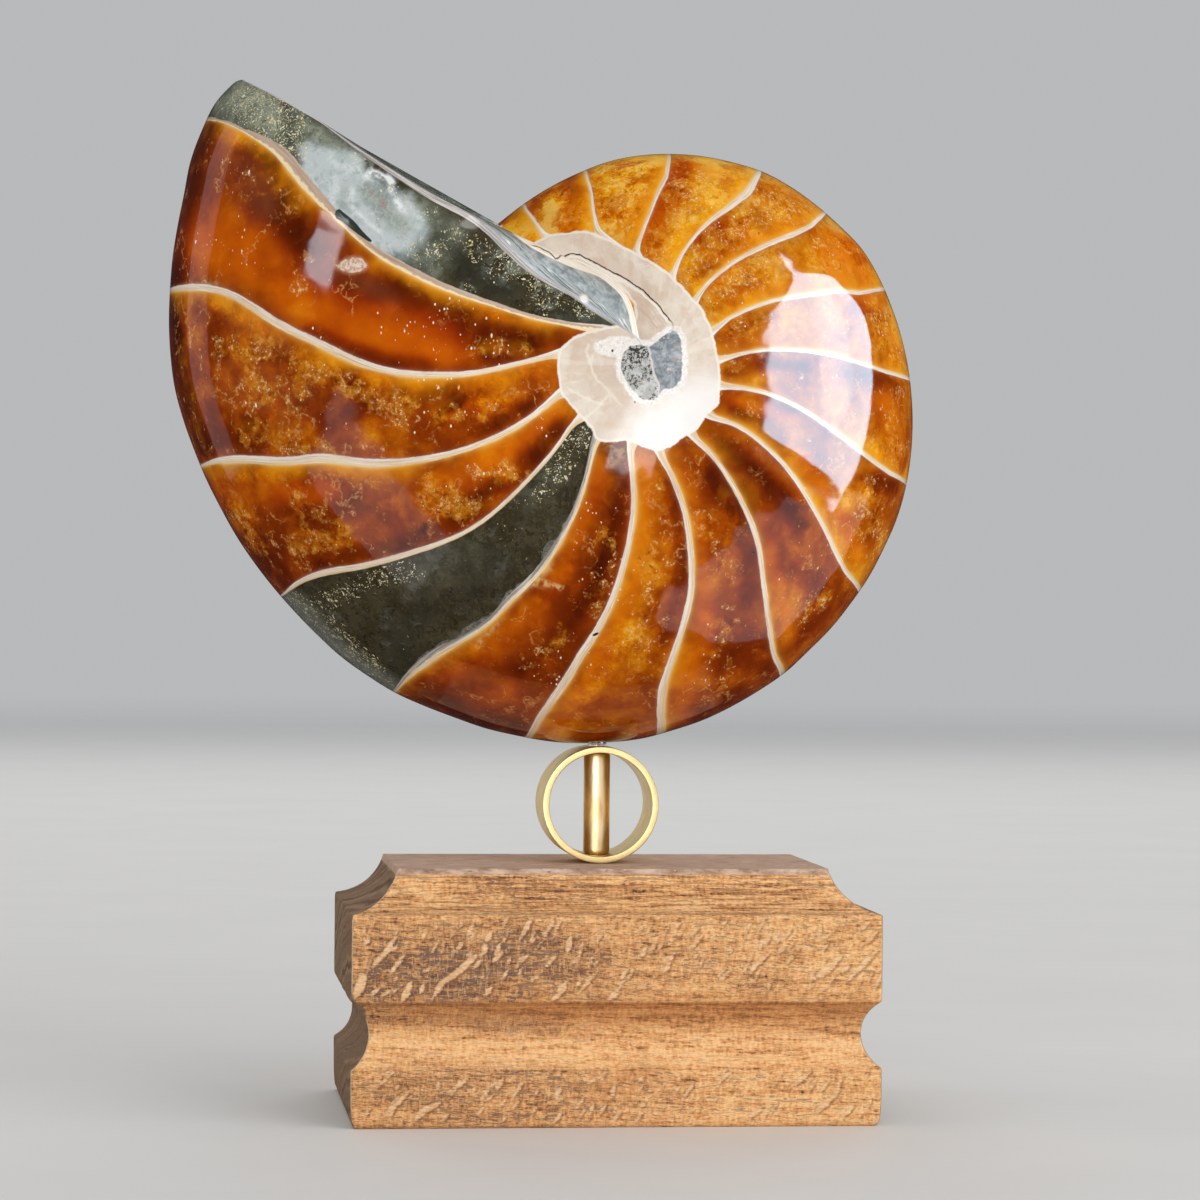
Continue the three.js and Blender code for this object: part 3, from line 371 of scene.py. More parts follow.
TONES = [   # tone of the wood on the front: what, how strong, radius, line
    ('pore', 1.00, 3.89, [(-35.1, 24.4), (-25.4, 25.1), (-8.9, 24.4)]),
    ('pore', 0.80, 3.29, [(-15.0, 28.1), (-2.9, 25.1)]),
    ('pore', 0.90, 2.40, [(-38.8, 20.7), (-20.9, 20.7)]),
    ('pore', 0.70, 2.10, [(-35.7, 5.1), (-23.7, 3.5)]),
    ('pore', 0.50, 2.69, [(-32.7, 8.8), (-8.8, 6.4)]),
    ('pore', 0.60, 2.40, [(-22.5, 36.3), (-3.0, 34.8)]),
    ('pore', 0.50, 2.10, [(3.0, 35.6), (31.9, 34.8)]),
    ('pore', 0.55, 2.99, [(3.1, 26.6), (21.3, 22.8)]),
    ('pore', 0.50, 1.50, [(18.3, 21.3), (25.9, 21.3)]),
    ('pore', 0.45, 2.99, [(3.3, 7.1), (9.4, 4.1)]),
    ('pore', 0.50, 1.50, [(-37.2, 16.2), (-8.8, 15.4)]),
    ('pore', 0.40, 1.20, [(-20.8, 14.7), (-2.8, 13.9)]),
    ('pore', 0.50, 1.20, [(30.5, 16.8), (36.6, 15.2)]),
    # painted shade: a dark orange band across the front, just under the groove's top edge
    ('warm', 0.80, 2.69, [(-29.8, 18.5), (-2.8, 17.6), (36.6, 17.2)]),
    ('warm', 0.50, 2.10, [(-2.7, 5.7), (3.3, 7.9)]),
    # painted light: a lighter band across the front, on the groove's lower half, which faces up
    ('light', 0.80, 2.40, [(-35.7, 11.0), (-2.8, 10.1), (35.1, 10.7)]),
    ('light', 0.70, 3.89, [(12.4, 2.6), (36.7, 5.5)]),
    ('light', 0.60, 3.29, [(24.3, 31.1), (36.6, 25.0)]),
    ('light', 0.50, 1.80, [(-32.9, 36.3), (-25.5, 34.8)]),
    ('light', 0.50, 1.80, [(-2.7, 1.2), (35.2, 0.6)]),
]

# ------------------------------------------------------------------ the fossil's form
OUTLINE = np.array([
    [-17.06, 137.26], [-13.16, 140.37], [-9.00, 143.13], [-4.57, 145.43], [0.05, 147.30],
    [4.90, 148.37], [9.87, 148.72], [14.84, 148.48], [19.71, 147.60], [24.48, 146.21],
    [28.90, 143.94], [32.97, 141.14], [36.75, 137.92], [40.24, 134.41], [42.87, 130.22],
    [44.93, 125.72], [46.55, 121.05], [47.70, 116.22], [48.36, 111.32], [48.55, 106.38],
    [48.25, 101.42], [47.43, 96.54], [46.04, 91.76], [44.04, 87.23], [41.74, 82.83],
    [38.94, 78.73], [35.85, 74.83], [32.37, 71.31], [28.73, 67.91], [24.64, 65.07],
    [20.36, 62.56], [15.86, 60.40], [11.15, 58.79], [6.36, 57.48], [1.41, 56.86],
    [-3.58, 56.67], [-8.55, 56.98], [-13.46, 57.84], [-18.33, 58.96], [-23.04, 60.57],
    [-27.70, 62.32], [-32.27, 64.34], [-36.54, 66.93], [-40.61, 69.80], [-44.32, 73.13],
    [-47.83, 76.67], [-51.16, 80.38], [-54.24, 84.30], [-57.05, 88.41], [-59.51, 92.76],
    [-61.78, 97.20], [-63.70, 101.79], [-65.41, 106.48], [-66.71, 111.29], [-67.38, 116.23],
    [-67.65, 121.21], [-67.54, 126.19], [-67.18, 131.17], [-66.45, 136.11], [-65.52, 140.99],
    [-64.61, 145.90], [-62.96, 150.62], [-60.81, 155.11], [-57.51, 158.81]])
NAVEL = np.array([4.52, 114.05])
LIP = np.array([
    [4.52, 114.05], [2.18, 118.21], [-1.69, 120.69], [-5.16, 122.74], [-7.55, 124.37],
    [-12.68, 127.24], [-17.40, 131.04], [-20.70, 134.09], [-23.32, 135.94], [-29.00, 138.89],
    [-34.60, 142.37], [-40.19, 146.12], [-45.75, 150.41], [-50.96, 153.90], [-55.78, 157.19],
    [-57.51, 158.81]])
FOOT = np.array([
    [4.52, 114.05], [2.88, 117.51], [2.28, 120.57], [1.68, 123.53], [0.63, 125.72],
    [-0.83, 127.12], [-2.65, 128.52], [-5.46, 129.34], [-7.70, 129.96], [-11.04, 131.20],
    [-14.15, 132.72], [-16.87, 135.30], [-17.06, 137.26]])
HALF_APERTURE, HALF_NAVEL, GROWTH = 30.9, 22.5, 0.62
LIP_RADIUS = float(np.hypot(*(OUTLINE[-1] - NAVEL)))


def smooth(x):
    x = np.clip(x, 0, 1)
    return x * x * (3 - 2 * x)


def curve(points, n=1500):
    """A plane curve through points (centripetal Catmull-Rom), read by its share of arc length."""
    p = np.asarray(points, float)
    a = np.vstack([2 * p[0] - p[1], p, 2 * p[-1] - p[-2]])
    m = max(8, n // (len(p) - 1))
    u = (np.arange(m) / m)[:, None]
    out = []
    for i in range(1, len(a) - 2):
        p0, p1, p2, p3 = a[i - 1:i + 3]
        d0, d1, d2 = [max(float(np.hypot(*(q - r))) ** 0.5, 1e-4) for r, q in ((p0, p1), (p1, p2), (p2, p3))]
        t1 = ((p1 - p0) / d0 - (p2 - p0) / (d0 + d1) + (p2 - p1) / d1) * d1
        t2 = ((p2 - p1) / d1 - (p3 - p1) / (d1 + d2) + (p3 - p2) / d2) * d1
        out.append(p1 + t1 * u + (-3 * p1 + 3 * p2 - 2 * t1 - t2) * u ** 2 + (2 * p1 - 2 * p2 + t1 + t2) * u ** 3)
    q = np.vstack(out + [p[-1:]])
    d = np.r_[0, np.cumsum(np.hypot(*np.diff(q, axis=0).T))]
    d /= d[-1]
    return lambda s: np.stack([np.interp(s, d, q[:, 0]), np.interp(s, d, q[:, 1])], -1)


outline, lip, foot = curve(OUTLINE), curve(LIP), curve(FOOT)


def half(radius, t):
    whorl = HALF_APERTURE * (radius / LIP_RADIUS) ** GROWTH
    h = smooth(t / 0.6)
    return (HALF_NAVEL * (1 - h) + whorl * h) * (1 - np.clip(t, 0, 1) ** 2.5) ** (1 / 2.05)


def flank(u, t):
    """x, z and half thickness at share u of the outline and share t of the section."""
    u, t = np.broadcast_arrays(np.asarray(u, float), np.asarray(t, float))
    end = outline(u)
    p = NAVEL + (end - NAVEL) * t[..., None]
    to_lip = smooth(1 - (1 - u) / 0.16)[..., None]
    to_foot = smooth(1 - u / 0.13)[..., None]
    p = p + (lip(t) - (NAVEL + (OUTLINE[-1] - NAVEL) * t[..., None])) * to_lip
    p = p + (foot(t) - (NAVEL + (OUTLINE[0] - NAVEL) * t[..., None])) * to_foot
    return p[..., 0], p[..., 1], half(np.hypot(end[..., 0] - NAVEL[0], end[..., 1] - NAVEL[1]), t)


# ------------------------------------------------------------------ plane geometry
def to_line(x, z, line, closed=False):
    """Distance to a line, the side it is on (+1 left of its direction), and the share along it."""
    line = np.asarray(line, float)
    if closed:
        line = np.vstack([line, line[:1]])
    a, b = line[:-1], line[1:]
    length = np.maximum(np.hypot(*(b - a).T), 1e-9)
    start = np.r_[0, np.cumsum(length)]
    best = np.full(x.shape, 1e9)
    side = np.ones(x.shape)
    share = np.zeros(x.shape)
    for k in range(len(a)):
        dx, dz = b[k] - a[k]
        px, pz = x - a[k, 0], z - a[k, 1]
        raw = (px * dx + pz * dz) / length[k] ** 2
        h = np.clip(raw, 0, 1)
        d = np.hypot(px - h * dx, pz - h * dz)
        nearer = d < best - 1e-9
        best = np.where(nearer, d, best)
        side = np.where(nearer, np.sign(dx * pz - dz * px), side)
        share = np.where(nearer, (start[k] + h * length[k]) / start[-1], share)
    return best, side, share


def inside(x, z, ring):
    ring = np.asarray(ring, float)
    odd = np.zeros(x.shape, bool)
    for (x0, z0), (x1, z1) in zip(ring, np.roll(ring, -1, axis=0)):
        crosses = (z0 > z) != (z1 > z)
        at = (x1 - x0) * (z - z0) / (z1 - z0 if z1 != z0 else 1e-9) + x0
        odd ^= crosses & (x < at)
    return odd


def signed(x, z, ring):
    """Distance to a closed ring, positive inside."""
    d, _, _ = to_line(x, z, ring, closed=True)
    return np.where(inside(x, z, ring), d, -d)


def closed(points, m=4):
    """A closed smooth curve through points."""
    p = np.asarray(points, float)
    u = (np.arange(m) / m)[:, None]
    out = []
    for i in range(len(p)):
        a, b, c, d = p[i - 1], p[i], p[(i + 1) % len(p)], p[(i + 2) % len(p)]
        out.append(0.5 * (2 * b + (c - a) * u + (2 * a - 5 * b + 4 * c - d) * u ** 2 + (3 * b - a - 3 * c + d) * u ** 3))
    return np.vstack(out)


def near_signed(x, z, ring, reach=7.0):
    """Distance to a smooth closed ring, positive inside, held at -reach away from it."""
    ring = closed(ring)
    out = np.full(x.shape, -reach)
    near = ((x > ring[:, 0].min() - reach) & (x < ring[:, 0].max() + reach)
            & (z > ring[:, 1].min() - reach) & (z < ring[:, 1].max() + reach))
    out[near] = np.maximum(signed(x[near], z[near], ring), -reach)
    return out


def paint(x, z, strokes, names):
    """Soft strokes summed into one field for each name."""
    out = {n: np.zeros(x.shape) for n in names}
    for what, strength, radius, line in strokes:
        if what not in out:
            continue
        line = np.array(line, float).reshape(-1, 2)
        if len(line) == 1:
            line = np.vstack([line, line + 1e-3])
        reach = 2.3 * radius
        near = ((x > line[:, 0].min() - reach) & (x < line[:, 0].max() + reach)
                & (z > line[:, 1].min() - reach) & (z < line[:, 1].max() + reach))
        if near.any():
            d, _, _ = to_line(x[near], z[near], line)
            out[what][near] += strength * np.exp(-0.9 * (d / radius) ** 2.4)
    return out


# ------------------------------------------------------------------ mesh helpers
def mesh_object(name, position, quads, triangles=(), smooth_faces=True):
    """A mesh from points in millimetres."""
    position = np.asarray(position, np.float32) / 1000
    quads = np.asarray(quads, np.int32).reshape(-1, 4)
    triangles = np.asarray(triangles, np.int32).reshape(-1, 3)
    me = bpy.data.meshes.new(name)
    me.vertices.add(len(position))
    me.vertices.foreach_set("co", position.ravel())
    loops = np.concatenate([quads.ravel(), triangles.ravel()])
    me.loops.add(len(loops))
    me.loops.foreach_set("vertex_index", loops)
    me.polygons.add(len(quads) + len(triangles))
    starts = np.r_[np.arange(len(quads)) * 4, len(quads) * 4 + np.arange(len(triangles)) * 3]
    me.polygons.foreach_set("loop_start", starts.astype(np.int32))
    me.update(calc_edges=True)
    me.validate()
    me.polygons.foreach_set("use_smooth", np.full(len(me.polygons), smooth_faces))
    ob = bpy.data.objects.new(name, me)
    bpy.context.scene.collection.objects.link(ob)
    return ob


def store(ob, name, values):
    layer = ob.data.attributes.new(name, "FLOAT", "POINT")
    layer.data.foreach_set("value", np.asarray(values, np.float32).ravel())


# ------------------------------------------------------------------ node helpers
def rgb(r, g, b):
    """A display colour, 0-255, as the linear one that a shader takes."""
    return tuple((c / 255 / 12.92) if c / 255 <= 0.04045 else ((c / 255 + 0.055) / 1.055) ** 2.4 for c in (r, g, b)) + (1.0,)


class V:
    """A socket with arithmetic."""

    def __init__(self, net, socket):
        self.net, self.socket = net, socket

    def __add__(self, o): return self.net.math("ADD", self, o)
    def __radd__(self, o): return self.net.math("ADD", o, self)
    def __sub__(self, o): return self.net.math("SUBTRACT", self, o)
    def __rsub__(self, o): return self.net.math("SUBTRACT", o, self)
    def __mul__(self, o): return self.net.math("MULTIPLY", self, o)
    def __rmul__(self, o): return self.net.math("MULTIPLY", o, self)
    def __truediv__(self, o): return self.net.math("DIVIDE", self, o)
    def __neg__(self): return self.net.math("MULTIPLY", self, -1)
    def clip(self): return self.net.math("ADD", self, 0, clamp=True)
    def abs(self): return self.net.math("ABSOLUTE", self)
    def pow(self, k): return self.net.math("POWER", self, k)


class Net:
    def __init__(self, name):
        self.material = bpy.data.materials.new(name)
        self.material.use_nodes = True
        self.tree = self.material.node_tree
        self.tree.nodes.clear()
        self.seen = {}

    def node(self, kind, **settings):
        n = self.tree.nodes.new(kind)
        for k, v in settings.items():
            setattr(n, k, v)
        return n

    def put(self, socket, value):
        if isinstance(value, V):
            self.tree.links.new(value.socket, socket)
        elif value is not None:
            socket.default_value = value

    def math(self, op, a, b=None, c=None, clamp=False):
        n = self.node("ShaderNodeMath", operation=op, use_clamp=clamp)
        for s, v in zip(n.inputs, (a, b, c)):
            self.put(s, v)
        return V(self, n.outputs[0])

    def attr(self, name):
        if name not in self.seen:
            n = self.node("ShaderNodeAttribute", attribute_name=name, attribute_type="GEOMETRY")
            self.seen[name] = V(self, n.outputs["Fac"])
        return self.seen[name]

    def step(self, v, lo, hi, to0=0.0, to1=1.0):
        """Smooth step from lo to hi."""
        n = self.node("ShaderNodeMapRange", interpolation_type="SMOOTHSTEP")
        self.put(n.inputs["Value"], v)
        self.put(n.inputs["From Min"], lo)
        self.put(n.inputs["From Max"], hi)
        self.put(n.inputs["To Min"], to0)
        self.put(n.inputs["To Max"], to1)
        return V(self, n.outputs["Result"])

    def lin(self, v, lo, hi, to0=0.0, to1=1.0):
        n = self.node("ShaderNodeMapRange", interpolation_type="LINEAR", clamp=True)
        self.put(n.inputs["Value"], v)
        self.put(n.inputs["From Min"], lo)
        self.put(n.inputs["From Max"], hi)
        self.put(n.inputs["To Min"], to0)
        self.put(n.inputs["To Max"], to1)
        return V(self, n.outputs["Result"])

    def mix(self, f, a, b, kind="MIX"):
        n = self.node("ShaderNodeMix", data_type="RGBA", blend_type=kind, clamp_factor=True)
        self.put(n.inputs[0], f)
        self.put(n.inputs[6], a)
        self.put(n.inputs[7], b)
        return V(self, n.outputs[2])

    def ramp(self, v, stops):
        """A colour read along a row of (share, (r, g, b)) stops."""
        n = self.node("ShaderNodeValToRGB")
        line = n.color_ramp.elements
        line[0].position, line[0].color = stops[0][0], rgb(*stops[0][1])
        line[1].position, line[1].color = stops[-1][0], rgb(*stops[-1][1])
        for share, color in stops[1:-1]:
            line.new(share).color = rgb(*color)
        self.put(n.inputs["Fac"], v)
        return V(self, n.outputs["Color"])

    def fmix(self, f, a, b):
        n = self.node("ShaderNodeMix", data_type="FLOAT", clamp_factor=True)
        self.put(n.inputs[0], f)
        self.put(n.inputs[2], a)
        self.put(n.inputs[3], b)
        return V(self, n.outputs[0])

    def point(self):
        """Object coordinates in millimetres."""
        if "point" not in self.seen:
            tc = self.node("ShaderNodeTexCoord")
            n = self.node("ShaderNodeVectorMath", operation="SCALE")
            self.tree.links.new(tc.outputs["Object"], n.inputs[0])
            n.inputs["Scale"].default_value = 1000.0
            self.seen["point"] = V(self, n.outputs[0])
        return self.seen["point"]

    def vmath(self, op, a, b=None, scale=None):
        n = self.node("ShaderNodeVectorMath", operation=op)
        self.put(n.inputs[0], a)
        if b is not None:
            self.put(n.inputs[1], b)
        if scale is not None:
            self.put(n.inputs["Scale"], scale)
        return V(self, n.outputs[0])

    def xyz(self, x, y=0.0, z=0.0):
        n = self.node("ShaderNodeCombineXYZ")
        for s, v in zip(n.inputs, (x, y, z)):
            self.put(s, v)
        return V(self, n.outputs[0])

    def split(self, v):
        n = self.node("ShaderNodeSeparateXYZ")
        self.put(n.inputs[0], v)
        return [V(self, o) for o in n.outputs]

    def noise(self, v, scale, detail=3.0, rough=0.5, distort=0.0, color=False, lac=2.0):
        n = self.node("ShaderNodeTexNoise", noise_dimensions="3D")
        self.put(n.inputs["Vector"], v)
        n.inputs["Scale"].default_value = scale
        n.inputs["Detail"].default_value = detail
        n.inputs["Roughness"].default_value = rough
        n.inputs["Lacunarity"].default_value = lac
        n.inputs["Distortion"].default_value = distort
        return V(self, n.outputs["Color" if color else "Fac"])

    def cells(self, v, scale, feature="F1", out="Distance", metric="EUCLIDEAN", random=1.0):
        n = self.node("ShaderNodeTexVoronoi", voronoi_dimensions="3D", feature=feature)
        if feature != "DISTANCE_TO_EDGE":
            n.distance = metric
        self.put(n.inputs["Vector"], v)
        n.inputs["Scale"].default_value = scale
        n.inputs["Randomness"].default_value = random
        return V(self, n.outputs[out])

    def stretch(self, v, x, y, z, turn=(0, 0, 0)):
        n = self.node("ShaderNodeMapping", vector_type="POINT")
        self.put(n.inputs["Vector"], v)
        n.inputs["Rotation"].default_value = turn
        n.inputs["Scale"].default_value = (x, y, z)
        return V(self, n.outputs[0])

    def bump(self, height, strength, distance):
        n = self.node("ShaderNodeBump")
        n.inputs["Strength"].default_value = strength
        n.inputs["Distance"].default_value = distance
        self.put(n.inputs["Height"], height)
        return V(self, n.outputs[0])

    def surface(self, **sockets):
        n = self.node("ShaderNodeBsdfPrincipled")
        for k, v in sockets.items():
            self.put(n.inputs[k.replace("_", " ")], v)
        out = self.node("ShaderNodeOutputMaterial")
        self.tree.links.new(n.outputs[0], out.inputs["Surface"])
        return n


# ------------------------------------------------------------------ camera
F_PX, SIZE = 4000.0, 1200.0
YAW, PITCH, ROLL = 0.1156, 8.545 / 4000, 0.0086
EYE = Vector((-0.072382, -0.619522, 0.077683))
forward = Vector((math.sin(YAW), math.cos(YAW), 0))
right = Vector((math.cos(YAW), -math.sin(YAW), 0))
up = Vector((0, 0, 1))
forward, up = math.cos(PITCH) * forward + math.sin(PITCH) * up, math.cos(PITCH) * up - math.sin(PITCH) * forward
right, up = math.cos(ROLL) * right + math.sin(ROLL) * up, math.cos(ROLL) * up - math.sin(ROLL) * right
camera = bpy.data.objects.new("camera", bpy.data.cameras.new("camera"))
bpy.context.scene.collection.objects.link(camera)
camera.data.sensor_width = 36.0
camera.data.sensor_fit = "HORIZONTAL"
camera.data.lens = 36.0 * F_PX / SIZE
camera.data.clip_start = 0.01
camera.data.clip_end = 50
camera.matrix_world = Matrix((
    (right.x, up.x, -forward.x, EYE.x),
    (right.y, up.y, -forward.y, EYE.y),
    (right.z, up.z, -forward.z, EYE.z),
    (0, 0, 0, 1)))
bpy.context.scene.camera = camera

# ------------------------------------------------------------------ stage and light
world = bpy.data.worlds.new("studio")
world.use_nodes = True
tree = world.node_tree
ray = tree.nodes.new("ShaderNodeLightPath")
level = tree.nodes.new("ShaderNodeMapRange")      # a dim room in reflections, a pale one behind the object
level.inputs["To Min"].default_value = 0.52
level.inputs["To Max"].default_value = 0.03
tree.links.new(ray.outputs["Is Glossy Ray"], level.inputs["Value"])
tree.nodes["Background"].inputs["Color"].default_value = (0.93, 0.94, 0.96, 1)
tree.links.new(level.outputs["Result"], tree.nodes["Background"].inputs["Strength"])
bpy.context.scene.world = world
bpy.context.scene.view_settings.view_transform = "Standard"
bpy.context.scene.view_settings.look = "None"
bpy.context.scene.view_settings.exposure = 0.0
bpy.context.scene.view_settings.gamma = 1.0


def floor():
    rings, spokes = 24, 96
    r = np.r_[0.0, np.geomspace(0.05, 3.2, rings)]
    a = np.linspace(0, 2 * np.pi, spokes, endpoint=False)
    p = [[0, 0, 0]] + [[1000 * x * math.cos(t), 1000 * x * math.sin(t), 0] for x in r[1:] for t in a]
    tri = [[0, 1 + k, 1 + (k + 1) % spokes] for k in range(spokes)]
    quad = [[1 + i * spokes + k, 1 + (i + 1) * spokes + k, 1 + (i + 1) * spokes + (k + 1) % spokes, 1 + i * spokes + (k + 1) % spokes]
            for i in range(rings - 1) for k in range(spokes)]
    ob = mesh_object("floor", p, quad, tri)
    ob.location.z = -0.00002
    m = Net("pale_floor")
    at = m.point()
    x, y, _ = m.split(at)
    far = m.math("SQRT", x * x + y * y)
    tone = m.noise(at, 0.02, 4, 0.6)
    bsdf = m.node("ShaderNodeBsdfPrincipled")
    m.put(bsdf.inputs["Base Color"], m.mix(tone, rgb(226, 225, 222), rgb(234, 233, 230)))
    bsdf.inputs["Roughness"].default_value = 0.62
    clear = m.node("ShaderNodeBsdfTransparent")
    blend = m.node("ShaderNodeMixShader")
    m.put(blend.inputs[0], m.step(far, 500.0, 3000.0))
    m.tree.links.new(bsdf.outputs[0], blend.inputs[1])
    m.tree.links.new(clear.outputs[0], blend.inputs[2])
    out = m.node("ShaderNodeOutputMaterial")
    m.tree.links.new(blend.outputs[0], out.inputs["Surface"])
    ob.data.materials.append(m.material)
    ob.visible_glossy = False
    return ob


floor()


def area(name, at, towards, width, height, watts, color=(1, 1, 1), spread=180, diffuse=True, glossy=True, shape="RECTANGLE", roll=0):
    data = bpy.data.lights.new(name, "AREA")
    data.shape = shape
    data.size, data.size_y = width, height
    data.energy = watts
    data.color = color
    data.spread = math.radians(spread)
    ob = bpy.data.objects.new(name, data)
    ob.location = at
    ob.rotation_euler = (Vector(towards) - Vector(at)).to_track_quat("-Z", "Y").to_euler()
    ob.rotation_euler.rotate_axis("Z", math.radians(roll))
    ob.visible_camera = False
    ob.visible_diffuse = diffuse
    ob.visible_glossy = glossy
    bpy.context.scene.collection.objects.link(ob)
    return ob


# ------------------------------------------------------------------ the fossil: mesh
def rows(n):
    """Shares of the section, evenly spaced along its length, from just off the navel to the rim."""
    t = np.sin(np.linspace(0, np.pi / 2, 6000))
    step = np.hypot(np.diff(t * 60), np.diff(half(60.0, t)))
    along = np.r_[0, np.cumsum(step)]
    return np.interp(np.linspace(0, 1, n + 1)[1:], along / along[-1], t)


def drift(x, z, k, size):
    """A smooth wander, for the back, which is not the front's mirror image."""
    a, b, c = [(0.31, 1.7, 4.1), (2.2, 0.4, 5.3)][k]
    return size * (np.sin(0.083 * x + 0.051 * z + a) + 0.7 * np.sin(-0.06 * x + 0.117 * z + b)
                   + 0.5 * np.sin(0.171 * x + 0.09 * z + c)) / 1.6


def septum_lines():
    """Each septum carried in to the navel and out to the rim: its shares, widths and line."""
    out = []
    for name, raw in SEPTA:
        p = np.array(sorted(raw))
        p = np.vstack([[0.03, p[0, 1], p[0, 2]], p, [1.0, p[-1, 1], p[-1, 2]]])
        keep = np.r_[True, np.diff(p[:, 0]) > 0.004]
        p = p[keep]
        t = np.linspace(0.03, 1, 110)
        u = np.interp(t, p[:, 0], p[:, 1])
        w = np.interp(t, p[:, 0], p[:, 2])
        k = np.array([0.06, 0.12, 0.19, 0.26, 0.19, 0.12, 0.06])
        u = np.convolve(np.pad(u, 3, mode="edge"), k, "valid")
        x, z, _ = flank(u, t)
        out.append((t, u, w, np.stack([x, z], -1)))
    return out


CHAMBER_GOLD = [.02, .20, .12, .0, .05, .12, .06, .04, .14, .14, .28, .42, .58, .66, .85, .95, .95]
CHAMBER_TONE = [.45, .49, .45, .0, .42, .56, .51, .50, .56, .61, .70, .72, .74, .77, .80, .74, .70]
CHAMBER_CLOUD = [.08, .24, .22, .0, .16, .20, .20, .18, .28, .30, .44, .60, .74, .50, .60, .20, .1]
RED_AT = (37.0, 131.0)
FIELDS = ("hot", "deep", "gold", "painted_reflection_haze", "cloud", "speck", "pyr", "rk", "dark", "pale", "vein", "ring", "rust", "cream")


def rounded_tip(X, Z, radius=1.5):
    """Rounds the pointed end of the lip, where it meets the outline nearly square."""
    tip = OUTLINE[-1]
    a = (OUTLINE[-2] - tip) / np.hypot(*(OUTLINE[-2] - tip))
    b = (LIP[-2] - tip) / np.hypot(*(LIP[-2] - tip))
    b = b - a * (a @ b)
    b /= np.hypot(*b)
    p, q = (X - tip[0]) * a[0] + (Z - tip[1]) * a[1], (X - tip[0]) * b[0] + (Z - tip[1]) * b[1]
    d = np.hypot(p - radius, q - radius)
    move = (p < radius) & (q < radius) & (d > radius)
    k = np.where(move, radius / np.maximum(d, 1e-9), 1.0)
    p, q = np.where(move, radius + (p - radius) * k, p), np.where(move, radius + (q - radius) * k, q)
    return tip[0] + p * a[0] + q * b[0], tip[1] + p * a[1] + q * b[1]


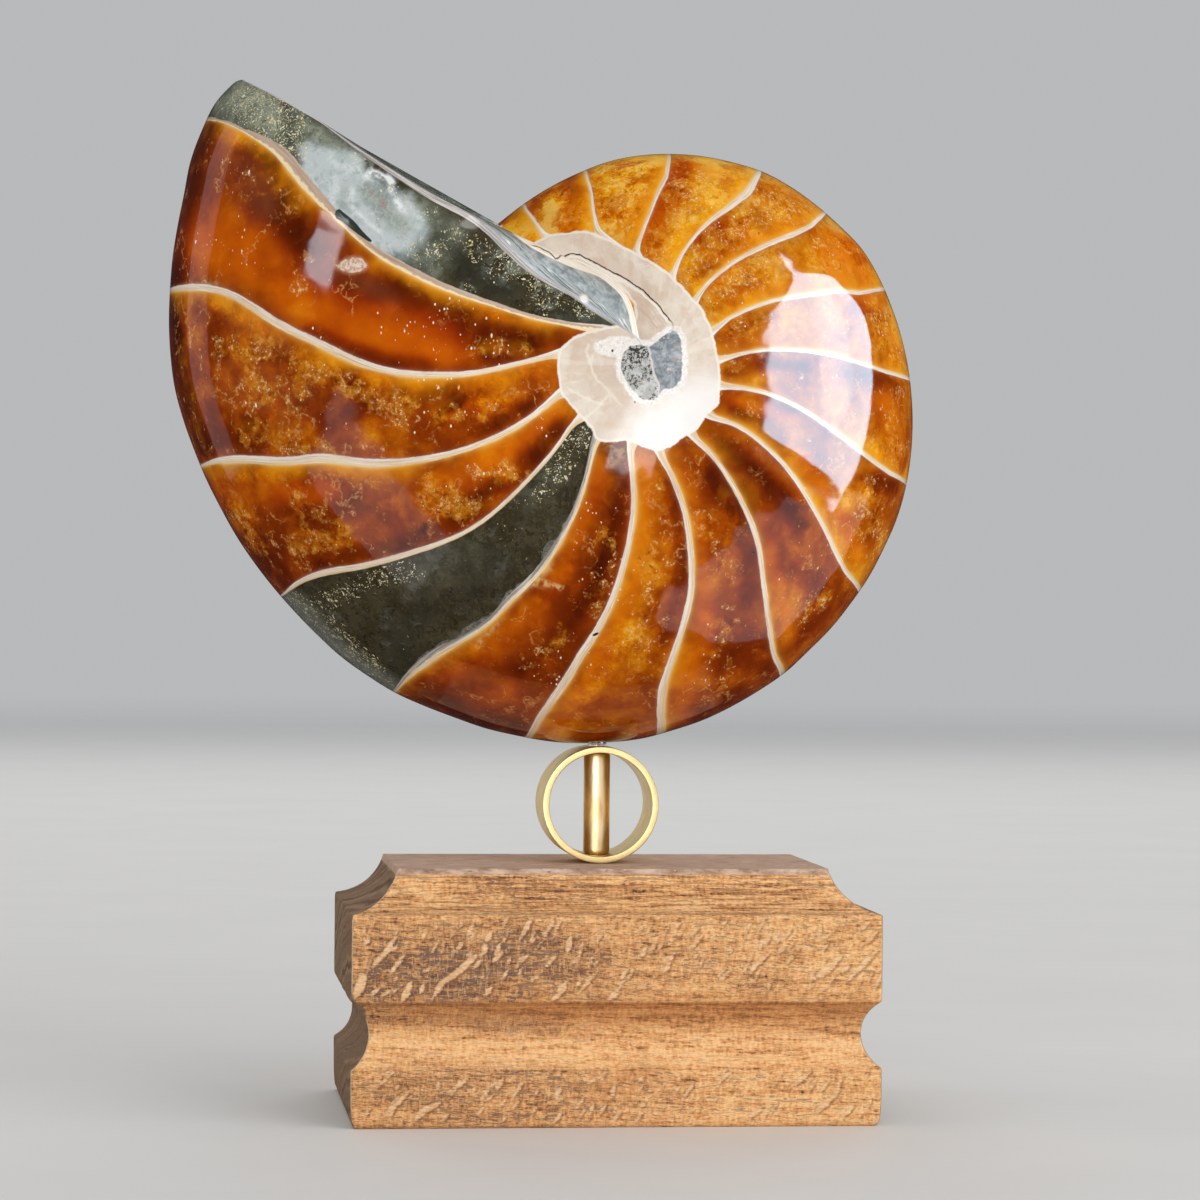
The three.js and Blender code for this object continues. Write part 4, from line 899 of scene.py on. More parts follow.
def fossil():
    near = np.array([0, 0.0004, 0.001, 0.002, 0.0034, 0.0052, 0.0075])
    u = np.r_[near, np.linspace(0.0098, 1 - 0.0098, 466), 1 - near[::-1]]
    c = np.r_[0.003, 0.012, 0.028, np.linspace(0.05, 0.95, 38), 0.972, 0.988, 0.997]
    front, back = rows(106), rows(68)
    t = np.r_[front, back[-2::-1]]
    sign = np.r_[-np.ones(len(front)), np.ones(len(back) - 1)]
    U, T = np.meshgrid(u, t, indexing="ij")
    X, Z, H = flank(U, T)
    ax, az, ah = flank(np.ones(len(t)), t)
    bx, bz, bh = flank(np.zeros(len(t)), t)
    C = c[:, None]
    X = np.vstack([X, ax * (1 - C) + bx * C])
    Z = np.vstack([Z, az * (1 - C) + bz * C])
    H = np.vstack([H, ah * (1 - C) + bh * C])
    cols, n = X.shape
    Y = H * sign
    grid = np.arange(cols * n).reshape(cols, n)
    nxt = np.roll(grid, -1, axis=0)
    quads = np.stack([grid[:, :-1], grid[:, 1:], nxt[:, 1:], nxt[:, :-1]], -1).reshape(-1, 4)
    poles = [cols * n, cols * n + 1]
    tris = np.vstack([
        np.stack([np.full(cols, poles[0]), grid[:, 0], nxt[:, 0]], -1),
        np.stack([grid[:, -1], np.full(cols, poles[1]), nxt[:, -1]], -1)])
    RX, RZ = rounded_tip(X, Z)
    P = np.vstack([np.stack([RX, Y, RZ], -1).reshape(-1, 3),
                   [[NAVEL[0], -HALF_NAVEL, NAVEL[1]], [NAVEL[0], HALF_NAVEL, NAVEL[1]]]])
    ob = mesh_object("nautilus_stone", P, quads, tris)
    bm_out = ob.data
    # outward faces: the sum of signed volumes must be positive
    tri = np.vstack([quads[:, [0, 1, 2]], quads[:, [0, 2, 3]], tris])
    vol = np.einsum("ij,ij->i", P[tri[:, 0]], np.cross(P[tri[:, 1]], P[tri[:, 2]])).sum()
    if vol < 0:
        bm_out.flip_normals()

    # ---- fields
    m = len(u)
    isback = np.broadcast_to(sign > 0, (cols, n))
    fade = smooth((1 - t) / 0.2) * (sign > 0)
    uu = np.broadcast_to(u[:, None], (m, n)).copy()
    tt = np.broadcast_to(t, (m, n))
    # the back's chambers wander from the front's
    per = 330.0
    uu = np.clip(uu + drift(X[:m], Z[:m], 0, 1.9 / per) * fade * smooth((1 - uu) / 0.05) * smooth(uu / 0.05) / 1.0, 0, 1)
    fx, fz, _ = flank(uu, tt)
    x, z = X.copy(), Z.copy()
    x[:m], z[:m] = fx, fz
    lines = septum_lines()
    dist, wide, count = [], [], np.zeros((cols, n))
    sep = np.empty((len(lines), m, n), np.float32)
    wid = np.empty((len(lines), m, n), np.float32)
    for i, (st, su, sw, line) in enumerate(lines):
        pts = line[::2] if (len(line) % 2) else np.vstack([line[::2], line[-1:]])
        d, _, share = to_line(fx, fz, pts)
        sep[i] = d
        wid[i] = np.interp(tt, st, sw)
        count[:m] += uu < np.interp(tt, st, su)
    idx = (count[:m] - 1).astype(int)
    last = len(lines) - 1
    a = np.clip(idx, 0, last)
    b = np.clip(idx + 1, 0, last)
    take = lambda arr, k: np.take_along_axis(arr, k[None], 0)[0]
    da, db = take(sep, a), take(sep, b)
    phase = np.full((cols, n), -0.99)
    chw = np.full((cols, n), 12.0)
    hw = np.full((cols, n), 0.35)
    mid = (idx >= 0) & (idx < last)
    phase[:m] = np.where(mid, idx + da / np.maximum(da + db, 1e-6),
                         np.where(idx < 0, -np.minimum(da / 12, 0.98), last + np.minimum(da / 12, 0.98)))
    chw[:m] = np.where(mid, da + db, 12.0)
    hw[:m] = np.where(mid, np.where(da < db, take(wid, a), take(wid, b)), take(wid, a))
    rad = np.hypot(x - NAVEL[0], z - NAVEL[1])

    fields = paint(x, z, STROKES, FIELDS)
    ci = np.clip(np.floor(phase), -1, last).astype(int)
    fields["gold"] += np.where(ci >= 0, np.take(np.array(CHAMBER_GOLD), np.clip(ci, 0, last)), 0.2)
    fields["cloud"] += np.where(ci >= 0, np.take(np.array(CHAMBER_CLOUD), np.clip(ci, 0, last)), 0.0)
    fields["rk"] = np.where(ci == 3, fields["rk"] * 0.35, fields["rk"])
    for f in FIELDS:       # the back keeps the chambers' character, not their exact marks
        v = fields[f]
        if f in ("speck", "pyr", "rust", "vein", "ring", "cream"):
            v = np.where(isback, v * (0.55 + 0.45 * np.sin(0.13 * x + 0.09 * z)), v)
        fields[f] = np.clip(v, -0.5, 1.6)

    tone = np.where(ci >= 0, np.take(np.array(CHAMBER_TONE), np.clip(ci, 0, last)), 0.5)
    # chambers do not change tone in one step under a septum's width
    golden = np.clip(fields["gold"], 0, 1)
    tone = (tone + 0.17 * (1 - golden) * np.clip(fields["hot"], 0, 1.2)
            - (0.29 + 0.11 * golden) * np.clip(fields["deep"], -0.8, 1.2))

    callus = near_signed(x, z, CALLUS)
    plug = near_signed(x, z, PLUG)
    lens = near_signed(x, z, LENS)
    oval = near_signed(x, z, OVAL)
    wedge = near_signed(x, z, WEDGE)
    half_side, side, _ = to_line(x, z, PLUG_LINE)
    seams = []
    for line in SEAMS:
        sd, ss, sh = to_line(x, z, curve(line, 60)(np.linspace(0, 1, 24)))
        seams.append((np.clip(sd * ss, -1, 1), np.where(isback, 0, smooth(sh / 0.06) * smooth((1 - sh) / 0.06)) * (sd < 0.9)))
    cd, cs, cshare = to_line(x, z, CRACK)
    lip_line = curve(LIP)(np.linspace(0, 1, 90))
    foot_line = curve(FOOT)(np.linspace(0, 1, 60))
    dl, _, _ = to_line(X, Z, lip_line)
    df, _, _ = to_line(X, Z, foot_line)
    strip = np.minimum(dl, df)
    strip[:m] *= -1
    lipd, footd = dl.copy(), df.copy()
    share = np.zeros((cols, n))
    share[m:] = np.broadcast_to(C, (len(c), n))
    bead = 0.86 - np.hypot(x - BEAD[0], z - BEAD[1])
    off = np.where(isback, 1.0, 0.0)
    oval = np.where(isback, -6.0, oval)
    wedge = np.where(isback, -6.0, wedge)
    bead = np.where(isback, -6.0, bead)

    def pole(v, navel):
        return np.r_[np.asarray(v, float).ravel(), navel, navel]
    store(ob, "phase", pole(phase, -0.99))
    store(ob, "chw", pole(chw, 12))
    store(ob, "hw", pole(hw, 0.35))
    store(ob, "rad", pole(rad, 0))
    store(ob, "callus", pole(callus, callus.max()))
    store(ob, "plug", pole(plug, 3.5))
    store(ob, "plug_side", pole(half_side * side, 0))
    store(ob, "lens", pole(lens, -3))
    store(ob, "oval", pole(oval, -6))
    store(ob, "wedge", pole(wedge, -6))
    store(ob, "bead", pole(bead, -6))
    for k, (line_d, line_m) in enumerate(seams):
        store(ob, "seam%d" % k, pole(line_d, 1))
        store(ob, "seam%d_m" % k, pole(line_m, 0))
    store(ob, "crack", pole(cd * cs, -6))
    store(ob, "crack_m", pole(np.where(isback, 0, smooth((1 - cshare) / 0.08) * smooth(cshare / 0.05)) * (cd < 4), 0))
    store(ob, "strip", pole(strip, -0.3))
    store(ob, "strip_c", pole(share, 0))
    store(ob, "lip_d", pole(lipd, 3))
    store(ob, "foot_d", pole(footd, 3))
    store(ob, "back", pole(off, 0))
    store(ob, "rim", pole(np.broadcast_to(t, (cols, n)), 0))
    store(ob, "tone", pole(tone, 0.5))
    for f in FIELDS:
        if f != "deep":
            store(ob, f, pole(fields[f], 0))
    return ob


# ------------------------------------------------------------------ the fossil: material
def fossil_material():
    m = Net("fossil_stone")
    at = m.point()
    x, y, z = m.split(at)
    A = m.attr
    phase, chw, hw = A("phase"), A("chw"), A("hw")
    ci = m.math("FLOOR", phase)
    frac = phase - ci
    d_in = frac * chw                      # from the younger septum, into the chamber
    d_out = (1 - frac) * chw               # to the older septum
    d_sep = m.math("MINIMUM", d_in, d_out)
    rad = A("rad")

    n_big = m.noise(at, 0.10, 2, 0.5)
    n_mid = m.noise(at, 0.28, 3, 0.5, 0.4)
    n_fine = m.noise(at, 1.1, 3, 0.55)
    n_dust = m.noise(at, 4.0, 3, 0.6)
    crumb = m.noise(at, 2.2, 3, 0.6)
    warp = m.vmath("ADD", at, m.vmath("SCALE", m.vmath("SUBTRACT", m.noise(at, 0.5, 2, 0.5, color=True), (0.5, 0.5, 0.5)), scale=3.0))
    curl = m.vmath("ADD", at, m.vmath("SCALE", m.vmath("SUBTRACT", m.noise(at, 0.85, 2, 0.5, color=True), (0.5, 0.5, 0.5)), scale=3.0))
    curl = m.vmath("ADD", curl, m.vmath("SCALE", m.vmath("SUBTRACT", m.noise(at, 2.6, 1, 0.5, color=True), (0.5, 0.5, 0.5)), scale=0.7))

    # ---------------- calcite: one tone, read along an amber, a gold and an orange ramp
    s_off = m.fmix(m.step(frac, 0.499, 0.501), d_in, -d_out)      # signed distance from the nearest septum
    across = 0.5 + s_off / (hw * 2)                               # 0 on its younger side ... 1 on its older side
    n_patch = m.noise(at, 0.16, 3, 0.5, 0.5)
    goldness = (A("gold") * 0.95 + (n_mid - 0.5) * 0.9 + (n_big - 0.5) * 0.5).clip()
    hotness = (A("hot") * (1.0 + (n_patch - 0.5) * 1.4)).clip()
    lump = m.noise(warp, 0.20, 4, 0.56)
    cloud = A("cloud")
    body = m.step(lump + (cloud - 0.5) * 0.30, 0.515, 0.64) * m.step(cloud, 0.02, 0.3)
    fade = m.step(m.noise(at, 0.62, 2, 0.5), 0.40, 0.62)
    past = m.math("MAXIMUM", d_in - hw, 0.0)
    before = m.math("MAXIMUM", d_out - hw, 0.0)
    clean = 1 - m.math("EXPONENT", -past / 1.1) * 0.85            # the band past a septum is clear
    facet = m.cells(curl, 0.66, out="Color")
    f_r, f_g, f_b = m.split(facet)
    crease = m.cells(curl, 0.66, feature="DISTANCE_TO_EDGE") * 1.5
    tone = A("tone") + (n_big - 0.5) * 0.52 + (n_patch - 0.5) * m.fmix(goldness, 0.46, 0.70) + (n_mid - 0.5) * m.fmix(goldness, 0.22, 0.66)
    tone = tone + (n_fine - 0.5) * (0.16 + body * 0.40) * clean * (1 - hotness * 0.7)
    tone = tone + (f_r - 0.5) * 0.26 * goldness * clean * fade
    tone = tone - m.step(crease, 0.16, 0.02) * goldness * clean * 0.14
    # the rim: darker on the left and at the bottom; lighter at the upper right, painted light for the glow along that
    # edge
    rim = m.step(A("rim"), 0.92, 1.0)
    tone = tone - rim * m.fmix(m.step(x + z * 0.35, 40.0, 62.0), 0.15, -0.18)
    amber = m.ramp(tone, [(0.0, (70, 17, 1)), (0.18, (97, 29, 1)), (0.36, (125, 43, 1)), (0.50, (150, 61, 2)), (0.64, (177, 83, 3)),
                          (0.78, (207, 107, 5)), (0.90, (233, 144, 18)), (1.0, (246, 186, 74))])
    gold = m.ramp((tone - 0.52) * 1.60 + 0.555, [(0.0, (90, 30, 1)), (0.20, (134, 52, 1)), (0.38, (178, 75, 1)), (0.52, (208, 100, 2)), (0.66, (230, 130, 5)),
                         (0.80, (244, 162, 18)), (0.92, (250, 188, 44)), (1.0, (254, 210, 100))])
    hot = m.ramp(tone, [(0.0, (116, 28, 1)), (0.30, (158, 52, 1)), (0.50, (185, 74, 1)), (0.68, (207, 96, 2)), (0.85, (231, 128, 6)), (1.0, (246, 162, 26))])
    ground = m.mix(goldness * 0.92, amber, gold)
    vivid = m.step(m.noise(warp, 0.17, 2, 0.5), 0.50, 0.62) * goldness
    ground = m.mix(vivid * 0.56, ground, m.mix(m.step(tone, 0.42, 0.76), rgb(228, 126, 2), rgb(252, 182, 18)))
    ember = m.step(m.noise(m.stretch(warp, 1.0, 1.0, 0.6, (0, 0.5, 0)), 0.24, 2, 0.5, 0.4), 0.53, 0.63) * goldness * clean
    ground = m.mix(ember * 0.76, ground, rgb(180, 68, 1))
    # a red corner at the venter of one chamber
    du, dv = (x - RED_AT[0]) * 0.80 + (z - RED_AT[1]) * 0.60, (z - RED_AT[1]) * 0.80 - (x - RED_AT[0]) * 0.60
    corner = m.step(m.math("SQRT", du * du / 42.0 + dv * dv / 62.0) + (n_mid - 0.5) * 0.9 + (n_fine - 0.5) * 0.5, 1.15, 0.62)
    ground = m.mix(corner * 0.78, ground, m.mix(m.step(tone, 0.36, 0.72), rgb(176, 60, 1), rgb(226, 112, 4)))
    ground = m.mix(hotness * 0.92, ground, hot)

    # clouds: a net of curling gold threads over dark pores
    edge1 = m.cells(curl, 0.80, feature="DISTANCE_TO_EDGE") * 1.25
    strength = m.noise(at, 0.9, 2, 0.5)
    thread1 = m.step(edge1 - m.step(strength, 0.40, 0.70) * 0.13, 0.09, -0.02)
    t1 = m.noise(curl, 0.40, 1, 0.5)
    t2 = m.noise(curl, 0.95, 1, 0.5)
    thread2 = (1 - (t1 * 2 - 1).abs() * 12.0).clip()
    thread3 = (1 - (t2 * 2 - 1).abs() * 7.0).clip()
    part = m.step(m.noise(at, 0.55, 2, 0.5), 0.44, 0.60)
    bloom = body * m.step(m.noise(curl, 0.55, 2, 0.5), 0.40, 0.62) * clean
    ground = m.mix(bloom * m.fmix(goldness, 0.36, 0.46), ground, m.mix(f_g, rgb(194, 106, 5), m.mix(goldness, rgb(226, 148, 20), rgb(248, 178, 30))))
    pores = body * m.step(edge1, 0.22, 0.50) * m.step(m.noise(at, 0.8, 2, 0.5) + goldness * 0.03, 0.46, 0.59) * clean
    ground = m.mix(pores * 0.72, ground, m.mix(goldness, rgb(92, 32, 1), rgb(122, 52, 1)))
    net = m.math("MAXIMUM", thread1 * 0.7, m.math("MAXIMUM", thread2, thread3 * 0.5)) * part
    ground = m.mix(body * net * clean * m.fmix(goldness, 0.62, 0.34), ground, m.mix(m.step(strength, 0.40, 0.62), rgb(206, 122, 16), m.mix(goldness, rgb(242, 182, 84), rgb(252, 190, 70))))
    stray = thread2 * m.step(m.noise(at, 0.36, 2, 0.5), 0.57, 0.66) * m.step(crumb, 0.42, 0.6) * (1 - body) * clean
    ground = m.mix(stray * 0.45 * (1 - hotness), ground, rgb(216, 130, 26))
    # clumps of pale crystals, a few together
    clump = m.step(m.noise(warp, 0.46, 2, 0.5) + (cloud - 0.5) * 0.15, 0.56, 0.67) * m.step(cloud, 0.10, 0.30) * clean
    ground = m.mix(clump * m.fmix(goldness, 0.20, 0.34), ground, m.mix(goldness, rgb(184, 108, 28), rgb(244, 164, 26)))
    grit = m.math("MAXIMUM", m.step(crumb, 0.52, 0.63), thread3 * 0.35)
    ground = m.mix(clump * grit * m.fmix(goldness, 0.66, 0.44), ground, m.mix(m.step(n_fine, 0.44, 0.60), rgb(214, 142, 56), rgb(250, 216, 156)))

    # wisps: long thin pale filaments
    wisp = (1 - (m.noise(warp, 0.16, 3, 0.5) * 2 - 1).abs() * 26).clip() * m.step(m.noise(at, 0.13, 2, 0.5), 0.50, 0.60) * clean
    ground = m.mix(wisp * m.step(crumb, 0.35, 0.6) * 0.6, ground, rgb(232, 172, 98))

    # painted reflection: a milky pinkish haze where softboxes reflect in the polish; and a darker red tint in random
    # patches
    ground = m.mix(A("painted_reflection_haze").clip() * (0.30 + (n_patch - 0.5) * 0.5), ground, rgb(176, 108, 74))
    shade = m.step(m.noise(at, 0.12, 2, 0.5, 0.6), 0.55, 0.72)
    ground = m.mix(shade * 0.24, ground, rgb(112, 38, 2))

    # the light along a chamber: bright past its younger septum, dark before its older one
    soft = (1 + (n_patch - 0.5) * 2.6) * (1 + goldness * 0.7)
    patchy = 0.40 + m.step(m.noise(at, 0.13, 2, 0.5, 0.4), 0.38, 0.60) * 0.60
    glow = m.math("EXPONENT", -past / (0.95 * soft)) * patchy
    warm = m.mix(m.step(n_patch, 0.35, 0.65), rgb(196, 96, 3), rgb(222, 140, 12))
    ground = m.mix((glow * 0.90).clip(), ground, m.mix(goldness, warm, rgb(246, 164, 12)))
    hotline = m.math("EXPONENT", -past / 0.24) * patchy
    ground = m.mix((hotline * 0.85).clip(), ground, rgb(240, 190, 96))
    dusk = m.math("EXPONENT", -before / (1.1 * soft)) * (1.35 - patchy)
    ground = m.mix((dusk * m.fmix(goldness, 0.44, 0.80)).clip(), ground, m.mix(goldness, rgb(96, 34, 1), rgb(176, 74, 1)))
    lilac = m.math("EXPONENT", -before / 0.16) * patchy
    ground = m.mix((lilac * 0.36).clip(), ground, rgb(196, 146, 124))
    ground = m.mix((A("cream") * m.step(n_fine, 0.34, 0.6)).clip() * 0.62, ground, rgb(236, 196, 132))

    # white specks: short upright dashes that gather in flights
    def specks(scale, low, high, lean, seed, tall=0.42):
        cell = m.stretch(at, 1.0, 1.0, tall, (0, lean, 0))
        cell = m.vmath("ADD", cell, (seed, seed * 1.7, seed * 0.3))
        d = m.cells(cell, scale) * (1.0 / scale)
        r, g, b = m.split(m.cells(cell, scale, out="Color"))
        return m.step(d - m.lin(g, 0, 1, low, high), 0.05, -0.04), r, b
    many = (A("speck").clip() * 0.85 * m.step(n_fine, 0.38, 0.58) + 0.008)
    s1, r1, b1 = specks(1.00, 0.07, 0.21, -0.40, 3.0)
    s2, r2, b2 = specks(1.7, 0.05, 0.13, 0.30, 11.0, 0.6)
    s3, r3, b3 = specks(2.3, 0.03, 0.085, 0.5, 19.0, 0.7)
    dots = m.math("MAXIMUM", s1 * m.step(many * 0.8 - r1, 0, 0.02), s2 * m.step(many * 1.0 - r2, 0, 0.02))
    dots = m.math("MAXIMUM", dots, s3 * m.step(body * 0.12 + 0.012 - r3, 0, 0.02))
    ground = m.mix(dots * 0.95, ground, m.mix(m.step(b1 + b2, 0.7, 1.5), rgb(255, 248, 236), rgb(246, 190, 120)))
    # dark pin holes
    p1, q1, _ = specks(0.33, 0.10, 0.22, 0.6, 29.0, 0.8)
    ground = m.mix(p1 * m.step(0.05 - q1, 0, 0.01), ground, rgb(46, 18, 5))

    # ---------------- septa
    lay = m.noise(m.xyz(s_off * 2.6, rad * 0.11, phase * 0.0 + ci * 3.1), 1.0, 4, 0.7)
    fine_lay = m.noise(m.xyz(s_off * 6.0, rad * 0.2, ci * 1.7), 1.0, 3, 0.65)
    bandc = m.mix(m.step(across, 0.2, 0.95), rgb(240, 226, 210), rgb(236, 208, 160))
    bandc = m.mix(m.step(lay, 0.46, 0.64) * 0.62, bandc, rgb(218, 184, 150))
    bandc = m.mix(m.step(fine_lay, 0.56, 0.68) * 0.46, bandc, rgb(172, 136, 110))
    bandc = m.mix(m.step(fine_lay, 0.44, 0.36) * 0.7, bandc, rgb(252, 246, 238))
    bandc = m.mix(m.step(across, 0.16, 0.0) * 0.8, bandc, rgb(250, 242, 234))
    bandc = m.mix(m.step(n_dust, 0.62, 0.8) * 0.3, bandc, rgb(255, 250, 240))
    wob = (m.noise(m.xyz(rad * 0.5, ci * 4.0, y * 0.1), 1.0, 4, 0.65) - 0.5) * 0.42
    callus = A("callus") + (m.noise(at, 0.45, 4, 0.6) - 0.5) * 0.9
    widen = m.math("EXPONENT", m.math("MINIMUM", callus, 0.0) / 1.3) * 0.45
    edge = hw * 0.92 + wob * (0.25 + hw * 0.8) + widen - 0.03
    band = m.step(d_sep - edge, 0.09, -0.09)

    # septum A: a beige shelf with a bright crinkled line on the calcite side
    isA = m.step(phase.abs(), 0.35, 0.3) * m.step(A("strip"), -0.05, -0.15)
    shelf = m.mix(m.step(lay, 0.4, 0.7), rgb(206, 182, 160), rgb(180, 150, 130))
    crinkle = m.step(across + (n_fine - 0.5) * 0.5, 0.58, 0.74)
    shelf = m.mix(crinkle, shelf, rgb(248, 226, 184))
    shelf = m.mix(m.step(across + (n_fine - 0.5) * 0.3, 0.12, 0.02) * 0.8, shelf, rgb(236, 226, 216))
    bandc = m.mix(isA, bandc, shelf)
    # septum E: a grey layer on the stone side
    isE = m.step((phase - 4.0).abs(), 0.35, 0.3)
    greyside = m.step(across + (n_fine - 0.5) * 0.25, 0.52, 0.42)
    bandc = m.mix(isE * greyside, bandc, m.mix(m.step(lay, 0.45, 0.6), rgb(146, 140, 134), rgb(206, 200, 192)))

    # ---------------- stone that filled the body chamber and chamber D
    r_fine = m.noise(at, 1.5, 3, 0.6, 0.6)
    r_soft = m.noise(curl, 0.45, 2, 0.5)
    rock_ground = m.mix(m.step(n_mid + (r_soft - 0.5) * 0.6, 0.35, 0.65), rgb(57, 50, 33), rgb(72, 65, 47))
    rock_ground = m.mix(m.step(m.noise(curl, 1.0, 3, 0.6), 0.53, 0.66) * 0.55, rock_ground, rgb(36, 31, 18))
    rock_ground = m.mix(m.step(r_fine, 0.54, 0.68) * 0.55, rock_ground, rgb(86, 79, 56))
    twig = m.step(m.noise(m.stretch(curl, 1.0, 1.0, 0.4, (0, 0.9, 0)), 0.9, 2, 0.55), 0.60, 0.67)
    rock_ground = m.mix(twig * 0.7, rock_ground, rgb(32, 29, 20))
    twig2 = m.step(m.noise(m.stretch(curl, 1.0, 1.0, 0.34, (0, -0.8, 0)), 1.3, 2, 0.55), 0.60, 0.68)
    rock_ground = m.mix(twig2 * 0.5, rock_ground, rgb(38, 34, 24))
    green = m.mix(m.step(r_soft, 0.36, 0.64), rgb(116, 122, 104), rgb(152, 157, 138))
    green = m.mix(m.step(crumb, 0.52, 0.62) * 0.45, green, rgb(78, 84, 74))
    green = m.mix(m.step(r_fine, 0.56, 0.68) * 0.40, green, rgb(160, 164, 146))
    rock = m.mix((A("rk") * 1.5 + (n_mid - 0.5) * 0.5 * m.step(A("rk"), 0.02, 0.2)).clip(), rock_ground, green)
    blob = m.step(m.noise(warp, 0.30, 2, 0.5), 0.50, 0.56) * m.step(A("pyr"), 0.1, 0.4)
    rock = m.mix(blob * 0.55 * m.step(A("pyr"), 0.1, 0.5) * (1 - m.step(phase, 2.9, 3.0)), rock, m.mix(crumb, rgb(104, 112, 104), rgb(150, 158, 146)))
    rock = m.mix((A("dark") * (0.9 + (n_mid - 0.5) * 0.8)).clip() * 0.85, rock, m.mix(r_soft, rgb(38, 38, 30), rgb(62, 62, 50)))
    chal = m.mix(m.step(m.noise(warp, 0.26, 2, 0.5, 0.5), 0.28, 0.60), rgb(158, 170, 170), rgb(200, 209, 208))
    chal = m.mix(m.step(m.noise(warp, 0.9, 2, 0.5), 0.54, 0.68) * 0.30, chal, rgb(140, 148, 144))
    chal = m.mix(m.step((m.noise(warp, 0.36, 1, 0.5) * 2 - 1).abs(), 0.05, 0.0) * 0.55, chal, rgb(222, 228, 226))
    rock = m.mix(m.step(A("pale") + (m.noise(curl, 0.42, 4, 0.6) - 0.5) * 0.75, 0.02, 0.74) * 0.97, rock, chal)
    rock = m.mix((A("ring") * (1.0 + (crumb - 0.5) * 1.4)).clip() * 0.75, rock, m.mix(m.step(crumb, 0.42, 0.6), rgb(126, 132, 120), rgb(168, 174, 162)))
    rock = m.mix((A("vein") * (0.5 + m.step(n_fine, 0.36, 0.52))).clip() * 0.97, rock, rgb(238, 242, 240))
    rock = m.mix((A("rust") * m.step(crumb, 0.44, 0.56)).clip() * 0.95, rock, rgb(206, 92, 36))
    # pyrite: bright crumbs that gather in drifts
    def flecks(scale, low, high, seed):
        p = m.vmath("ADD", warp, (seed, seed, seed))
        d = m.cells(p, scale) * (1.0 / scale)
        r, g, b = m.split(m.cells(p, scale, out="Color"))
        return m.step(d - m.lin(g, 0, 1, low, high), 0.04, -0.04), r, b
    drifts = m.step(m.noise(at, 0.8, 2, 0.5), 0.36, 0.60)
    f1, fr1, fb1 = flecks(1.9, 0.06, 0.20, 5.0)
    f2, fr2, fb2 = flecks(3.4, 0.04, 0.12, 17.0)
    tipward = m.step(x, -46.0, -50.0) * m.step(z, 140.0, 144.0)
    rich = (m.step(A("pyr"), 0.18, 0.80) * (1 + tipward * 0.4) + A("rk") * 0.06) * m.math("MAXIMUM", drifts, tipward * 0.8)
    pyr = m.math("MAXIMUM", f1 * m.step(rich * 0.85 + 0.006 - fr1, 0, 0.02), f2 * m.step(rich * 1.0 + 0.012 - fr2, 0, 0.02))
    rock = m.mix(pyr * 0.95, rock, m.mix(fb1, rgb(250, 244, 214), rgb(196, 178, 112)))
    rock = m.mix(m.step(A("rim"), 0.955, 1.0) * 0.4 * m.step(phase, 2.9, 3.0), rock, rgb(150, 156, 150))

    chips = m.noise(m.xyz(rad * 0.9, 0.0, 0.0), 0.20, 2, 0.5)
    slab = m.step(phase, 3.3, 3.4) * m.step(rad, 22.0, 26.0)
    slab_e = before - m.step(chips, 0.44, 0.62) * 0.75 - (n_fine - 0.5) * 0.10
    glassy = m.mix(m.step(m.noise(m.stretch(curl, 1.0, 1.0, 0.5, (0, 0.7, 0)), 1.4, 3, 0.6), 0.42, 0.62), rgb(98, 96, 88), rgb(148, 146, 138))
    rock = m.mix(slab * m.step(slab_e, 0.10, -0.14) * m.step(chips, 0.42, 0.47) * 0.72, rock, glassy)
    rock = m.mix(slab * m.step((slab_e - 0.03).abs(), 0.12, 0.02) * m.step(chips, 0.48, 0.56) * 0.20, rock, rgb(176, 176, 168))

    is_rock = m.math("MAXIMUM", m.step(phase, 0.0, -0.001), m.step((phase - 3.5).abs(), 0.5, 0.499))
    skin = m.mix(is_rock, ground, rock)
    gap = m.step(A("wedge"), -0.06, 0.06)
    nu = (x + 3.4) * 0.92 + (z - 73.8) * 0.38
    nv = (z - 73.8) * 0.92 - (x + 3.4) * 0.38
    nick = m.math("SQRT", nu * nu * 0.16 + nv * nv)
    bandc = m.mix(m.step(nick + (n_fine - 0.5) * 0.12, 0.24, 0.15), bandc, rgb(58, 44, 36))
    skin = m.mix(band, skin, bandc)
    skin = m.mix(gap, skin, m.mix(n_fine, rgb(38, 44, 40), rgb(64, 70, 62)))

    # pale oval flaw in the first chamber
    oval = A("oval") + (n_fine - 0.5) * 0.5
    skin = m.mix(m.step(oval, -0.65, 0.15) * 0.70, skin, rgb(206, 146, 112))
    skin = m.mix(m.step(oval, 0.0, 0.45) * 0.90, skin, m.mix(m.step(crumb, 0.42, 0.62), rgb(206, 166, 140), rgb(242, 226, 212)))
    skin = m.mix(m.step((oval - 0.12).abs(), 0.26, 0.04) * m.step(n_fine, 0.34, 0.52) * 0.6, skin, rgb(248, 236, 222))

